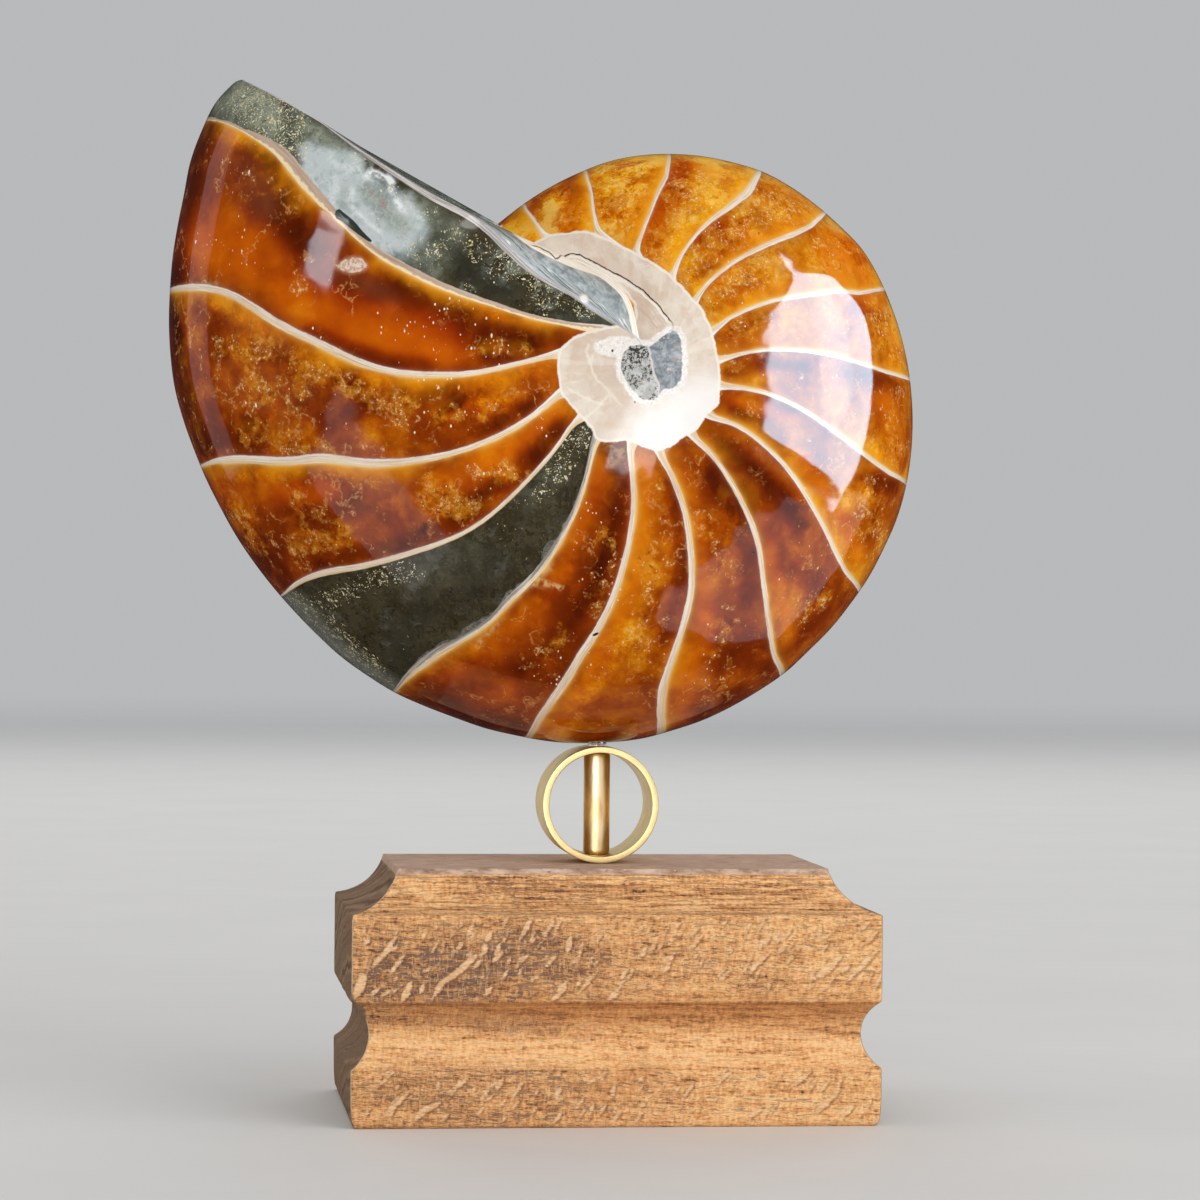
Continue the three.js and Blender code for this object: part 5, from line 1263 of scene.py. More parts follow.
    # ---------------- callus round the navel
    c1 = m.noise(warp, 0.16, 4, 0.55)
    shell = m.mix(m.step(c1, 0.36, 0.64), rgb(218, 196, 174), rgb(236, 222, 204))
    shell = m.mix(m.step(m.noise(warp, 0.34, 3, 0.55), 0.50, 0.70) * 0.5, shell, rgb(220, 188, 164))
    turn = m.math("ARCTAN2", z - NAVEL[1], x - NAVEL[0])
    rays = m.noise(m.xyz(turn * 4.0, rad * 0.06, 0.0), 1.6, 4, 0.6)
    shell = m.mix(m.step(rays, 0.52, 0.66) * 0.24, shell, rgb(214, 188, 166))
    for k in range(len(SEAMS)):
        seam = A("seam%d" % k) + (n_fine - 0.5) * 0.7
        shell = m.mix(m.step(seam.abs(), 0.34, 0.04) * A("seam%d_m" % k) * 0.60, shell, rgb(248, 238, 220))
    seam2 = (1 - (m.noise(warp, 0.15, 2, 0.5) * 2 - 1).abs() * 45).clip() * m.step(n_patch, 0.45, 0.55)
    shell = m.mix(seam2 * 0.4, shell, rgb(246, 236, 220))
    shell = m.mix(m.step(m.noise(at, 1.5, 4, 0.7), 0.52, 0.7) * 0.18, shell, rgb(206, 184, 168))
    plug_d = A("plug")
    warmth = m.step(plug_d, -4.6, -1.2) * m.step(x, 9.0, 1.0) * (0.35 + m.step(m.noise(warp, 0.22, 3, 0.55), 0.36, 0.62) * 0.65)
    shell = m.mix(warmth * 0.55, shell, rgb(202, 174, 150))
    folds = m.noise(m.xyz(turn * 7.0, rad * 0.10, 4.0), 1.0, 2, 0.5)
    shell = m.mix(m.step(folds, 0.54, 0.66) * 0.20, shell, rgb(208, 186, 168))
    shell = m.mix(m.step(folds, 0.46, 0.36) * 0.24, shell, rgb(248, 240, 230))
    # painted highlight: the lower right of the callus is turned near white, where glare lies on its polish
    bright = m.step(x - z * 0.95 + 95.0 + (n_mid - 0.5) * 8.0, -9.0, 1.0) * m.step(z, 117.0, 109.0)
    shell = m.mix(bright * 0.88, shell, rgb(255, 251, 247))
    onshell = m.step(callus, -0.12, 0.12)
    rimline = m.step((callus - 0.15).abs(), 0.35, 0.15)
    shell = m.mix(rimline * 0.6, shell, rgb(252, 246, 236))
    # plug: two stone halves in a white crystalline rim
    plug = A("plug") + (m.noise(at, 1.6, 3, 0.6) - 0.5) * 0.7
    grain = m.noise(at, 2.4, 4, 0.75)
    left = m.mix(m.step(m.noise(at, 0.7, 3, 0.6), 0.36, 0.6), rgb(176, 176, 170), rgb(206, 206, 202))
    upper = m.step(z + x * 0.3, 112.5, 117.5)
    left = m.mix(m.step(grain + upper * 0.05, 0.49, 0.57) * m.step(m.noise(at, 0.5, 2, 0.5) + upper * 0.12, 0.38, 0.54), left, rgb(66, 62, 58))
    rightc = m.mix(m.step(m.noise(warp, 0.6, 4, 0.65), 0.38, 0.62), rgb(118, 126, 134), rgb(178, 184, 188))
    rightc = m.mix(m.step(m.noise(at, 1.3, 4, 0.7), 0.58, 0.66) * 0.6, rightc, rgb(92, 92, 96))
    rightc = m.mix(m.step(m.noise(at, 0.8, 3, 0.6), 0.62, 0.70) * 0.6, rightc, rgb(186, 142, 112))
    side = A("plug_side") + (n_fine - 0.5) * 0.7
    core = m.mix(m.step(side, -0.05, 0.05), left, rightc)
    core = m.mix(m.step(side.abs(), 0.22, 0.10) * 0.85, core, rgb(226, 220, 214))
    core = m.mix(m.step(m.noise(at, 0.9, 2, 0.5), 0.66, 0.72) * 0.8, core, rgb(236, 214, 190))
    holes, hr, _ = specks(0.8, 0.10, 0.3, 0.4, 41.0, 0.85)
    granular = m.mix(m.step(m.noise(curl, 1.9, 3, 0.65), 0.38, 0.60), rgb(238, 229, 218), rgb(255, 253, 250))
    granular = m.mix(m.step(m.noise(curl, 1.2, 2, 0.5), 0.60, 0.70) * 0.5, granular, rgb(206, 190, 176))
    patch = m.math("SQRT", (x + 0.2) * (x + 0.2) * 0.055 + (z - 117.0) * (z - 117.0) * 0.42) + (n_fine - 0.5) * 0.5
    granule = m.math("MAXIMUM", m.step(plug + (n_fine - 0.5) * 0.9, -1.05, -0.65), m.step(patch, 1.15, 0.9))
    shell = m.mix(granule * 0.92, shell, granular)
    shell = m.mix(m.step(patch, 1.1, 0.9) * holes * m.step(0.55 - hr, 0, 0.02), shell, rgb(84, 72, 66))
    shell = m.mix(m.step(plug, -1.8, -1.2) * holes * m.step(0.3 - hr, 0, 0.02) * m.step(plug, 0.1, -0.1), shell, rgb(96, 84, 76))
    shell = m.mix(m.step(plug, -0.12, 0.10), shell, core)
    crackd = A("crack") + (m.noise(at, 0.9, 3, 0.6) - 0.5) * 0.5
    cm = A("crack_m")
    fold_n = m.noise(m.xyz(crackd * 1.6, rad * 0.10, 7.0), 1.0, 4, 0.65)
    inner = m.step(crackd, 0.0, -0.1) * m.step(crackd, -3.2, -2.4) * m.step(cm, 0.3, 0.8)
    shell = m.mix(inner * m.step(fold_n, 0.50, 0.62) * 0.7, shell, rgb(206, 176, 154))
    shell = m.mix(inner * m.step(fold_n, 0.46, 0.38) * 0.7, shell, rgb(252, 246, 236))
    shell = m.mix(m.step(crackd.abs(), 0.15, 0.05) * cm * m.step(plug, -0.2, -0.5), shell, rgb(50, 42, 38))
    shell = m.mix(m.step((crackd + 0.40).abs(), 0.26, 0.10) * cm * 0.8 * m.step(plug, -0.2, -0.5), shell, rgb(252, 244, 232))
    branch = A("foot_d") + (m.noise(at, 0.9, 2, 0.5) - 0.5) * 0.5
    shell = m.mix(m.step((branch - 0.50).abs(), 0.17, 0.05) * m.step(x, -4.0, -8.0) * m.step(x, -18.5, -16.5) * m.step(n_fine, 0.34, 0.5) * 0.9, shell, rgb(62, 54, 50))
    skin = m.mix(onshell, skin, shell)

    # ---------------- step between lip and foot, near the navel, and the cut face beyond it
    strip = A("strip")
    c = A("strip_c")
    grainy = m.noise(m.xyz(c * 9.0, rad * 0.13, 0.0), 1.5, 5, 0.68)
    fold = m.mix(m.step(grainy, 0.34, 0.52), rgb(92, 90, 84), rgb(160, 156, 148))
    fold = m.mix(m.step(grainy, 0.55, 0.64), fold, rgb(222, 217, 206))
    fold = m.mix(m.step(m.noise(m.xyz(c * 14.0, rad * 0.08, 3.0), 1.5, 4, 0.66), 0.56, 0.61) * 0.9, fold, rgb(44, 46, 46))
    cloudy = m.mix(m.step(m.noise(warp, 0.5, 5, 0.65), 0.38, 0.64), rgb(108, 112, 110), rgb(182, 183, 178))
    fold = m.mix(m.step(A("lens") - 0.2 + (n_fine - 0.5) * 0.5, -0.15, 0.15) * 0.75, fold, cloudy)
    cut = m.mix(m.step(m.noise(warp, 0.20, 5, 0.62, 0.6), 0.38, 0.64), rgb(70, 80, 72), rgb(118, 132, 122))
    cut = m.mix(m.step(m.noise(warp, 0.62, 4, 0.7), 0.53, 0.64) * 0.55, cut, rgb(44, 50, 48))
    cut = m.mix(m.step(m.noise(at, 0.11, 4, 0.6, 0.8), 0.56, 0.70) * 0.85, cut, chal)
    heap = m.step(m.noise(at, 0.17, 3, 0.6), 0.46, 0.66)
    cpyr = m.math("MAXIMUM", f1 * m.step(heap * drifts * 0.5 + 0.02 - fr1, 0, 0.02), f2 * m.step(heap * drifts * 0.6 + 0.03 - fr2, 0, 0.02))
    cut = m.mix(cpyr * 0.95, cut, m.mix(fb1, rgb(244, 232, 176), rgb(190, 168, 96)))
    face = m.mix(m.step(A("rim"), 0.40, 0.52), fold, cut)
    face = m.mix(m.step(A("foot_d") + wob * 0.5, 1.05, 0.85), face, m.mix(m.step(m.noise(m.xyz(A("foot_d") * 5.0, rad * 0.14, 0.0), 1.0, 4, 0.6), 0.4, 0.6), rgb(232, 212, 186), rgb(250, 240, 224)))
    face = m.mix(m.step(A("lip_d"), 0.45, 0.30) * 0.7, face, rgb(176, 168, 166))
    bead = A("bead")
    face = m.mix(m.step(bead, -0.10, 0.06), face, rgb(196, 176, 160))
    face = m.mix(m.step(bead + (n_fine - 0.5) * 0.3, 0.16, 0.36), face, rgb(228, 222, 218))
    # painted highlight: a pale grey line on the flank along the lip, where its rounded edge catches light
    wide = m.fmix(m.step(x, -46.0, -29.0), 0.16, m.fmix(m.step(x, -17.0, -8.0), 0.90, 0.27))
    lipd = A("lip_d")
    onflank = m.step(strip, 0.02, -0.02)
    lip_highlight = m.step(lipd - wide - wob * 0.3, 0.06, -0.06) * onflank * m.step(phase, 0.0, -0.2) * m.step(callus, 0.1, -0.1)
    lip_highlight_colour = m.mix(m.step(m.noise(m.xyz(lipd * 4.0, rad * 0.12, 0.0), 1.0, 4, 0.65), 0.42, 0.6), rgb(164, 158, 154), rgb(216, 210, 204))
    skin = m.mix(lip_highlight, skin, lip_highlight_colour)
    skin = m.mix(m.step(strip, -0.02, 0.02), skin, face)
    skin = m.mix(m.step((A("crack") + (n_fine - 0.5) * 0.35).abs(), 0.17, 0.06) * cm * m.step(x, -7.5, -8.5) * 0.9, skin, rgb(52, 44, 40))

    # ---------------- gloss
    tiny = m.noise(at, 2.2, 3, 0.6)
    pits = m.math("MAXIMUM", dots, p1 * m.step(0.05 - q1, 0, 0.01))
    inner = m.step(strip, -0.02, 0.02) * m.step(A("rim"), 0.50, 0.40)
    rough = 0.055 + m.step(tiny, 0.45, 0.8) * 0.05 + band * 0.05 + onshell * 0.09 + m.step(strip, -0.02, 0.02) * 0.08 + pits * 0.2 + inner * 0.36
    height = (m.noise(at, 0.12, 2, 0.5) * 1.0 + n_dust * 0.010 - pits * 0.10 - band * 0.018
              + onshell * m.noise(at, 1.4, 4, 0.6) * 0.06 - gap * 0.5)
    normal = m.bump(height, 0.30, 0.00035)
    m.surface(Base_Color=skin, Roughness=rough, Normal=normal, IOR=1.5, Specular_IOR_Level=0.5,
              Coat_Weight=0.15, Coat_Roughness=0.03)
    return m.material


BEAD = (-6.04, 124.03)
stone = fossil()
stone.data.materials.append(fossil_material())
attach(stone, "root")
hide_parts("nautilus_fossil")


# ------------------------------------------------------------------ oak base
BASE_W, BASE_D, BASE_H = 80.3, 50.4, 38.3


def arc(a, b, sag, steps):
    (ax, az), (bx, bz) = a, b
    chord = math.hypot(bx - ax, bz - az)
    r = chord * chord / (8 * abs(sag)) + abs(sag) / 2
    nx, nz = -(bz - az) / chord, (bx - ax) / chord
    s = 1 if sag > 0 else -1
    mx, mz = (ax + bx) / 2, (az + bz) / 2
    cx, cz = mx - s * nx * (r - abs(sag)), mz - s * nz * (r - abs(sag))
    a0, a1 = math.atan2(az - cz, ax - cx), math.atan2(bz - cz, bx - cx)
    d = a1 - a0
    while d > math.pi:
        d -= 2 * math.pi
    while d < -math.pi:
        d += 2 * math.pi
    return [(cx + r * math.cos(a0 + d * k / steps), cz + r * math.sin(a0 + d * k / steps)) for k in range(steps + 1)]


def rounded(path, radius, n=5):
    """A path with its corners rounded."""
    out = [path[0]]
    for p, q, r in zip(path, path[1:], path[2:]):
        a, b, c = map(np.array, (p, q, r))
        u, v = a - b, c - b
        lu, lv = np.hypot(*u), np.hypot(*v)
        turn = math.acos(max(-1, min(1, float(-(u @ v) / (lu * lv)))))
        if turn < 0.3:
            out.append(tuple(b))
            continue
        k = min(radius, lu * 0.45, lv * 0.45)
        s, e = b + u / lu * k, b + v / lv * k
        out += [tuple((1 - h) ** 2 * s + 2 * h * (1 - h) * b + h * h * e) for h in np.linspace(0, 1, n)]
    return out + [path[-1]]


def resample(path, step, keep=0.35):
    """Points no further apart than step along a path."""
    out = [path[0]]
    for a, b in zip(path, path[1:]):
        n = max(1, int(math.ceil(math.dist(a, b) / step)))
        out += [(a[0] + (b[0] - a[0]) * k / n, a[1] + (b[1] - a[1]) * k / n) for k in range(1, n + 1)]
    return out


def grain_noise(x, y, z, seed, octaves=4):
    """Cheap smooth noise from sines of seeded directions."""
    r = np.random.default_rng(seed)
    total, amp, freq = 0.0, 1.0, 1.0
    for _ in range(octaves):
        for _ in range(4):
            kx, ky, kz = r.normal(0, freq, 3)
            total = total + amp * np.sin(kx * x + ky * y + kz * z + r.uniform(0, 6.28))
        amp *= 0.55
        freq *= 2.1
    return total / 5.0


def base():
    profile = [(0.6, 0.0), (0.22, 0.4), (0.06, 0.9), (0.0, 1.6)]
    profile += arc((0.0, 8.7), (0.0, 18.7), -2.75, 16)
    cove = arc((0.0, 31.8), (7.2, 38.3), -1.5, 14)
    profile += cove
    profile = [(max(a, 0.0), b) for a, b in profile]
    corner = profile[:5] + profile[5:20] + profile[20:]
    # a little rounding on each arris
    path = rounded(profile, 0.32)
    path = resample(path, 0.42)
    path = np.array(path)
    flat = np.hypot(*np.diff(path, axis=0).T) > 1e-4
    path = path[np.r_[True, flat]]
    # perimeter: long sides along X, short sides along Y, tiny corner radius
    hw, hd, cr = BASE_W / 2, BASE_D / 2, 0.55
    nx, ny = 178, 92
    ring = []
    sx = np.linspace(-1, 1, nx)
    sy = np.linspace(-1, 1, ny)
    cols, rows_ = [], []
    for side, n in ((0, nx), (1, ny), (2, nx), (3, ny)):
        s = np.linspace(-1, 1, n)
        for v in s:
            cols.append((side, v))
        for k in range(1, 5):
            cols.append((side + 0.5, k / 5))
    P, side_of, S = [], [], []
    for inset, zz in path:
        w, d = hw - inset, hd - inset
        a, b = w - cr, d - cr
        for sd, v in cols:
            if sd == 0:
                p = (v * a, -d)
            elif sd == 0.5:
                t = v * math.pi / 2
                p = (a + cr * math.sin(t), -b - cr * math.cos(t))
            elif sd == 1:
                p = (w, v * b)
            elif sd == 1.5:
                t = v * math.pi / 2
                p = (a + cr * math.cos(t), b + cr * math.sin(t))
            elif sd == 2:
                p = (-v * a, d)
            elif sd == 2.5:
                t = v * math.pi / 2
                p = (-a - cr * math.sin(t), b + cr * math.cos(t))
            elif sd == 3:
                p = (-w, -v * b)
            else:
                t = v * math.pi / 2
                p = (-a - cr * math.cos(t), -b - cr * math.sin(t))
            P.append((p[0], p[1], zz))
    P = np.array(P)
    n = len(cols)
    m = len(path)
    # top: rings that shrink to a line, so that its grain can be seen without a fan of slivers
    tops = []
    w, d = hw - path[-1][0], hd - path[-1][0]
    for f in (0.985, 0.955, 0.9, 0.82, 0.72, 0.6, 0.46, 0.32, 0.18, 0.06):
        q = P[(m - 1) * n: m * n].copy()
        q[:, 0] *= 1 - (1 - f) * d / w
        q[:, 1] *= f
        tops.append(q)
    P = np.vstack([P] + tops)
    m2 = m + len(tops)
    grid = np.arange(m2 * n).reshape(m2, n)
    nxt = np.roll(grid, -1, axis=1)
    quads = np.stack([grid[:-1], nxt[:-1], nxt[1:], grid[1:]], -1).reshape(-1, 4)
    c0, c1 = len(P), len(P) + 1
    P = np.vstack([P, [[0, 0, BASE_H], [0, 0, 0]]])
    tris = np.vstack([np.stack([grid[-1], nxt[-1], np.full(n, c0)], -1),
                      np.stack([nxt[0], grid[0], np.full(n, c1)], -1)])
    # hand-worked faces: open pores and slight waves, always inwards
    x, y, z = P.T
    outer = np.zeros(len(P))
    outer[:m * n] = 1
    nrm = np.zeros_like(P)
    ex = np.abs(x) / hw
    onx = np.abs(np.abs(y) - (hd - np.interp(z, path[:, 1], path[:, 0]))) < np.abs(np.abs(x) - (hw - np.interp(z, path[:, 1], path[:, 0])))
    nrm[:, 1] = np.where(onx, np.sign(y), 0)
    nrm[:, 0] = np.where(onx, 0, np.sign(x))
    wave = 0.05 * (grain_noise(x * 0.05, y * 0.3, z * 0.3, 5, 3) - 1.0)
    pore = grain_noise(x * 0.30, y * 2.4, z * 2.4, 9, 3)
    pore = -0.10 * np.clip(pore - 0.35, 0, 1) * onx
    fray = (z > 31.0) & (z < 32.8)
    ragged = -0.22 * np.clip(grain_noise(x * 0.9, y * 0.9, z * 2.5, 21, 3), 0, 1.2) * np.exp(-((z - 31.9) / 0.55) ** 2)
    ragged2 = -0.16 * np.clip(grain_noise(x * 1.1, y * 0.9, z * 2.0, 31, 3), 0, 1.2) * (np.exp(-((z - 18.7) / 0.4) ** 2) + np.exp(-((z - 8.7) / 0.4) ** 2))
    sink = outer * (wave + pore + ragged + ragged2)
    # a chip in the left end's groove, and bruised lower corners
    chip = np.exp(-(((x + hw) / 3.2) ** 2 + ((y + hd) / 2.6) ** 2 + ((z - 17.6) / 1.3) ** 2))
    P[:, 0] += np.where(outer > 0, 1.3 * chip, 0)
    P[:, 1] += np.where(outer > 0, 0.7 * chip, 0)
    bruise = np.exp(-((z / 2.6) ** 2)) * np.exp(-(((np.abs(x) - hw) / 1.6) ** 2))
    P[:, 0] -= np.sign(x) * bruise * 0.22 * outer
    P += nrm * sink[:, None]
    top_wave = (1 - outer) * 0.03 * (grain_noise(x * 0.1, y * 1.2, z, 3, 3) - 1.0) * (z > 1)
    P[:, 2] += top_wave
    P[:, 2] = np.clip(P[:, 2], 0.0, BASE_H)
    ob = mesh_object("oak_block", P, quads, tris)
    tri = np.vstack([quads[:, [0, 1, 2]], quads[:, [0, 2, 3]], tris])
    if np.einsum("ij,ij->i", P[tri[:, 0]], np.cross(P[tri[:, 1]], P[tri[:, 2]])).sum() < 0:
        ob.data.flip_normals()

    # fleck field: signed distance in mm to the nearest ray fleck, positive inside
    x, y, z = P.T
    front = (y < -hd + 3.6) & (np.abs(x) < hw - 0.2) & onx
    rear = (y > hd - 3.6) & onx
    def fleck_field(x, z):
        fl = np.full(len(P), -2.0)

        def lay(side, half_w, line):
            near = side & (x > line[:, 0].min() - 2.5) & (x < line[:, 0].max() + 2.5) & (z > line[:, 1].min() - 2.5) & (z < line[:, 1].max() + 2.5)
            if near.any():
                dd, _, sh = to_line(x[near], z[near], line)
                fl[near] = np.maximum(fl[near], half_w * (1 - 0.75 * np.abs(2 * sh - 1) ** 2.2) - dd)

        for half_w, line in FLECKS:
            lay(front, half_w * 0.92, np.array(line, float))
        r = np.random.default_rng(77)
        for _ in range(84):
            zone = (0.8, 7.4) if r.random() < 0.3 else (19.6, 30.2)
            cx, cz = r.uniform(-hw + 2, hw - 2), r.uniform(*zone)
            ln, ang = r.uniform(0.9, 3.6), r.normal(2.05, 0.12)
            line = np.array([[cx, cz], [cx + math.cos(ang) * ln * 0.5 + r.normal(0, .1), cz + math.sin(ang) * ln * 0.5], [cx + math.cos(ang) * ln, cz + math.sin(ang) * ln]])
            lay(rear, r.uniform(0.14, 0.42), line)
        r = np.random.default_rng(41)
        for _ in range(190):
            zone = (0.8, 7.6) if r.random() < 0.30 else (19.6, 30.4)
            cx, cz = (r.uniform(-hw + 1, 2) if r.random() < 0.50 else r.uniform(2, hw - 2)), r.uniform(*zone)
            ln, ang = r.uniform(0.7, 2.6), r.normal(1.02, 0.16)
            lay(front, r.uniform(0.05, 0.30), np.array([[cx, cz], [cx + math.cos(ang) * ln, cz + math.sin(ang) * ln]]))
        return fl
    fl = fleck_field(x, z)
    # the flecks again, shifted right and down, for a painted shadow beside each fleck
    store(ob, "fleck_shade", fleck_field(x - np.where(y < 0, 0.34, -0.34), z + 0.16))
    tones = paint(np.where(y < 0, x, -x), z, TONES, ("pore", "warm", "light"))
    inset_at = np.interp(z, path[:, 1], path[:, 0])
    from_side, from_front = hw - inset_at - np.abs(x), hd - inset_at - np.abs(y)
    # painted highlight: a pale line along the upright corner arrises, stronger on the left
    store(ob, "arris", smooth(1 - np.maximum(from_side, from_front) / 0.5) * np.where(x < 0, 1.0, 0.8))
    store(ob, "fleck", fl)
    store(ob, "onlong", onx.astype(float))
    store(ob, "pore_t", tones["pore"])
    store(ob, "warm_t", tones["warm"])
    store(ob, "light_t", tones["light"])
    topness = np.r_[np.zeros((m - 3) * n), np.ones(3 * n + (len(tops)) * n), 1.0, 0.0]
    store(ob, "top", topness)
    return ob


def oak_material():
    m = Net("oak_wood")
    at = m.point()
    x, y, z = m.split(at)
    onlong = m.attr("onlong")
    top = m.attr("top")
    slope = z + x * 0.028 + (m.noise(at, 0.03, 2, 0.5) - 0.5) * 2.0
    want = m.attr("pore_t").clip()
    warm = m.attr("warm_t").clip()
    light = m.attr("light_t").clip()
    cove = m.step(z, 31.6, 32.2) * (1 - top)
    deep = m.step((z - 13.7).abs(), 5.1, 4.8)
    upper = m.step(z, 12.0, 17.5)
    # grain at four lengths, all run along X
    broad = m.noise(m.xyz(x * 0.085, y * 1.0, slope), 0.55, 3, 0.5)
    lines = m.noise(m.xyz(x * 0.085, y * 1.0, slope * 1.0), 1.55, 3, 0.62)
    dash = m.noise(m.xyz(x * 0.42, y * 2.4, slope * 2.4), 1.20, 3, 0.6)
    fine = m.noise(m.xyz(x * 1.1, y * 4.0, slope * 4.0), 1.15, 2, 0.6)
    weave = m.noise(m.xyz(x * 2.3, y * 0.9, z * 0.9), 0.9, 2, 0.5)            # short risers across the grain
    leftward = m.step(x, 16.0, -20.0)
    faces = m.step(z, 31.4, 30.4) * (1 - deep) * (1 - top)
    bruise = faces * leftward * (0.40 + (broad - 0.5) * 1.3 + (m.noise(m.xyz(x * 0.5, y, z), 0.16, 2, 0.5) - 0.5) * 1.3)
    want = m.math("MAXIMUM", want * m.fmix(leftward, 0.35, 0.85), bruise).clip()
    tone = 0.69 + (broad - 0.5) * 0.6 + (lines - 0.5) * 1.65 + (dash - 0.5) * 1.30 + (fine - 0.5) * 1.30 + (weave - 0.5) * 0.90
    # the warm and light strokes carry painted shade and light in the groove as well as the wood's own tone
    tone = tone - want * 0.20 + light * 0.12 - warm * 0.04
    # painted shade on the groove's upper half, which faces down, and painted light on its lower half, which faces up
    tone = tone - deep * upper * 0.17 + deep * (1 - upper) * 0.08
    streak = m.noise(m.xyz(x * 0.07, y * 1.0, z * 1.3), 1.9, 4, 0.62)
    tone = tone + cove * (streak - 0.48) * 1.7
    # a painted shadow line along the groove's top edge; after it, a darker line along its bottom edge
    tone = tone - m.step((z - 18.5).abs(), 0.45, 0.12) * m.step(fine, 0.3, 0.6) * 0.32
    tone = tone - m.step((z - 8.7).abs(), 0.35, 0.1) * 0.15
    wood = m.ramp(tone, [(0.0, (92, 62, 50)), (0.14, (134, 91, 62)), (0.30, (178, 125, 80)), (0.46, (210, 150, 94)), (0.62, (229, 168, 109)),
                         (0.80, (246, 188, 128)), (1.0, (255, 208, 150))])
    wood = m.mix(warm * 0.5, wood, m.mix(lines, rgb(190, 118, 62), rgb(222, 156, 92)))
    # open pores: dark dashes along the grain, blue-grey where dirt has settled
    long_pore = m.step(lines + (dash - 0.5) * 0.45 + want * 0.10, 0.60, 0.68)
    pores = m.step(dash + (fine - 0.5) * 0.45 + want * 0.12 + (broad - 0.5) * 0.20, 0.60, 0.67)
    pin = m.step(m.noise(m.xyz(x * 0.8, y * 5.0, slope * 5.0), 1.3, 2, 0.6) + want * 0.06, 0.66, 0.74)
    pores = m.math("MAXIMUM", pores, m.math("MAXIMUM", pin * 0.8, long_pore * 0.8)) * (1 - deep * 0.4)
    wood = m.mix(pores * (0.62 + want * 0.30), wood, m.mix(m.step(fine + want * 0.20, 0.42, 0.70), rgb(112, 62, 36), m.mix(want, rgb(104, 62, 46), rgb(80, 70, 72))))
    drawn = m.step(m.noise(m.xyz(x * 0.05, y * 1.4, z * 1.7 + 7.0), 1.7, 3, 0.6) + (fine - 0.5) * 0.14, 0.55, 0.61) * cove * upper
    wood = m.mix(drawn * 0.52, wood, rgb(116, 70, 44))
    cross = m.step(m.noise(m.xyz(x * 3.6, y, z * 0.8), 0.9, 2, 0.5) + want * 0.06, 0.60, 0.70) * (1 - cove)
    wood = m.mix(cross * (0.12 + want * 0.46), wood, rgb(98, 78, 68))
    pale = m.step(m.noise(m.xyz(x * 3.6, y, z * 0.8 + 40.0), 0.9, 2, 0.5), 0.58, 0.68) * (1 - cove)
    wood = m.mix(pale * (0.16 + want * 0.34), wood, rgb(238, 192, 148))
    wood = m.mix(want * 0.12, wood, rgb(150, 124, 110))
    # ray flecks: smooth pale slips laid over the grain
    ragged = (m.noise(at, 1.1, 3, 0.55) - 0.5) * 0.72 + (fine - 0.5) * 0.46
    fl = m.attr("fleck") + ragged
    fm = m.step(fl, -0.18, 0.16) * (1 - cove) * (1 - top)
    # painted shadow: a dark edge below and to the right of each fleck, so that it looks raised
    fleck_shadow = m.step(m.attr("fleck_shade") + ragged * 0.7, -0.20, 0.14) * (1 - fm) * (1 - cove) * (1 - top)
    wood = m.mix(fleck_shadow * 0.52, wood, rgb(122, 78, 52))
    wood = m.mix(fm * (0.78 + want * 0.16), wood, m.mix(m.step(lines + (fine - 0.5) * 0.8, 0.38, 0.62), rgb(236, 184, 132), rgb(255, 214, 166)))
    # frayed arris under the cove
    frayed = m.step((z - 31.9).abs() + (m.noise(at, 1.6, 3, 0.7) - 0.5) * 1.0, 0.35, 0.0)
    wood = m.mix(frayed * 0.45 * (1 - top), wood, m.mix(m.step(fine, 0.45, 0.6), rgb(120, 80, 54), rgb(238, 200, 154)))
    # grey top with pale streaks and dark dashes; its grey is partly dust and partly a painted sheen, where it catches
    # light at a grazing angle
    t_lines = m.noise(m.xyz(x * 0.16, y * 1.5, 0.0), 1.5, 4, 0.62)
    topw = m.mix(m.step(t_lines, 0.34, 0.66), rgb(168, 134, 112), rgb(228, 198, 174))
    topw = m.mix(m.step(m.noise(m.xyz(x * 0.5, y * 4.2, 0.0), 1.3, 3, 0.62), 0.56, 0.67) * 0.55, topw, rgb(98, 72, 60))
    topw = m.mix(m.step(m.noise(m.xyz(x * 0.8, y * 4.0, 9.0), 1.2, 2, 0.6), 0.64, 0.72) * 0.7, topw, rgb(222, 194, 166))
    wood = m.mix(top, wood, topw)
    # end grain: growth rings across, dull olive brown
    ring_at = m.vmath("ADD", at, (0.0, 30.0, 90.0))
    rx, ry, rz = m.split(ring_at)
    rings = m.math("SQRT", ry * ry + rz * rz) + (m.noise(at, 0.15, 3, 0.6) - 0.5) * 3.0
    ringn = m.noise(m.xyz(rings * 1.0, 0.0, 0.0), 0.8, 3, 0.7)
    endw = m.mix(m.step(ringn, 0.38, 0.62), rgb(124, 98, 76), rgb(168, 136, 106))
    endw = m.mix(m.step(m.noise(m.xyz(x * 0.2, y * 2.0, z * 2.0), 1.6, 3, 0.7), 0.58, 0.68) * 0.75, endw, rgb(66, 52, 42))
    rayn = m.noise(m.xyz(m.math("ARCTAN2", rz, ry) * 60.0, rings * 0.03, 0.0), 1.0, 3, 0.6)
    endw = m.mix(m.step(rayn, 0.6, 0.7) * 0.5, endw, rgb(186, 154, 116))
    wood = m.mix((1 - onlong) * (1 - top), wood, endw)
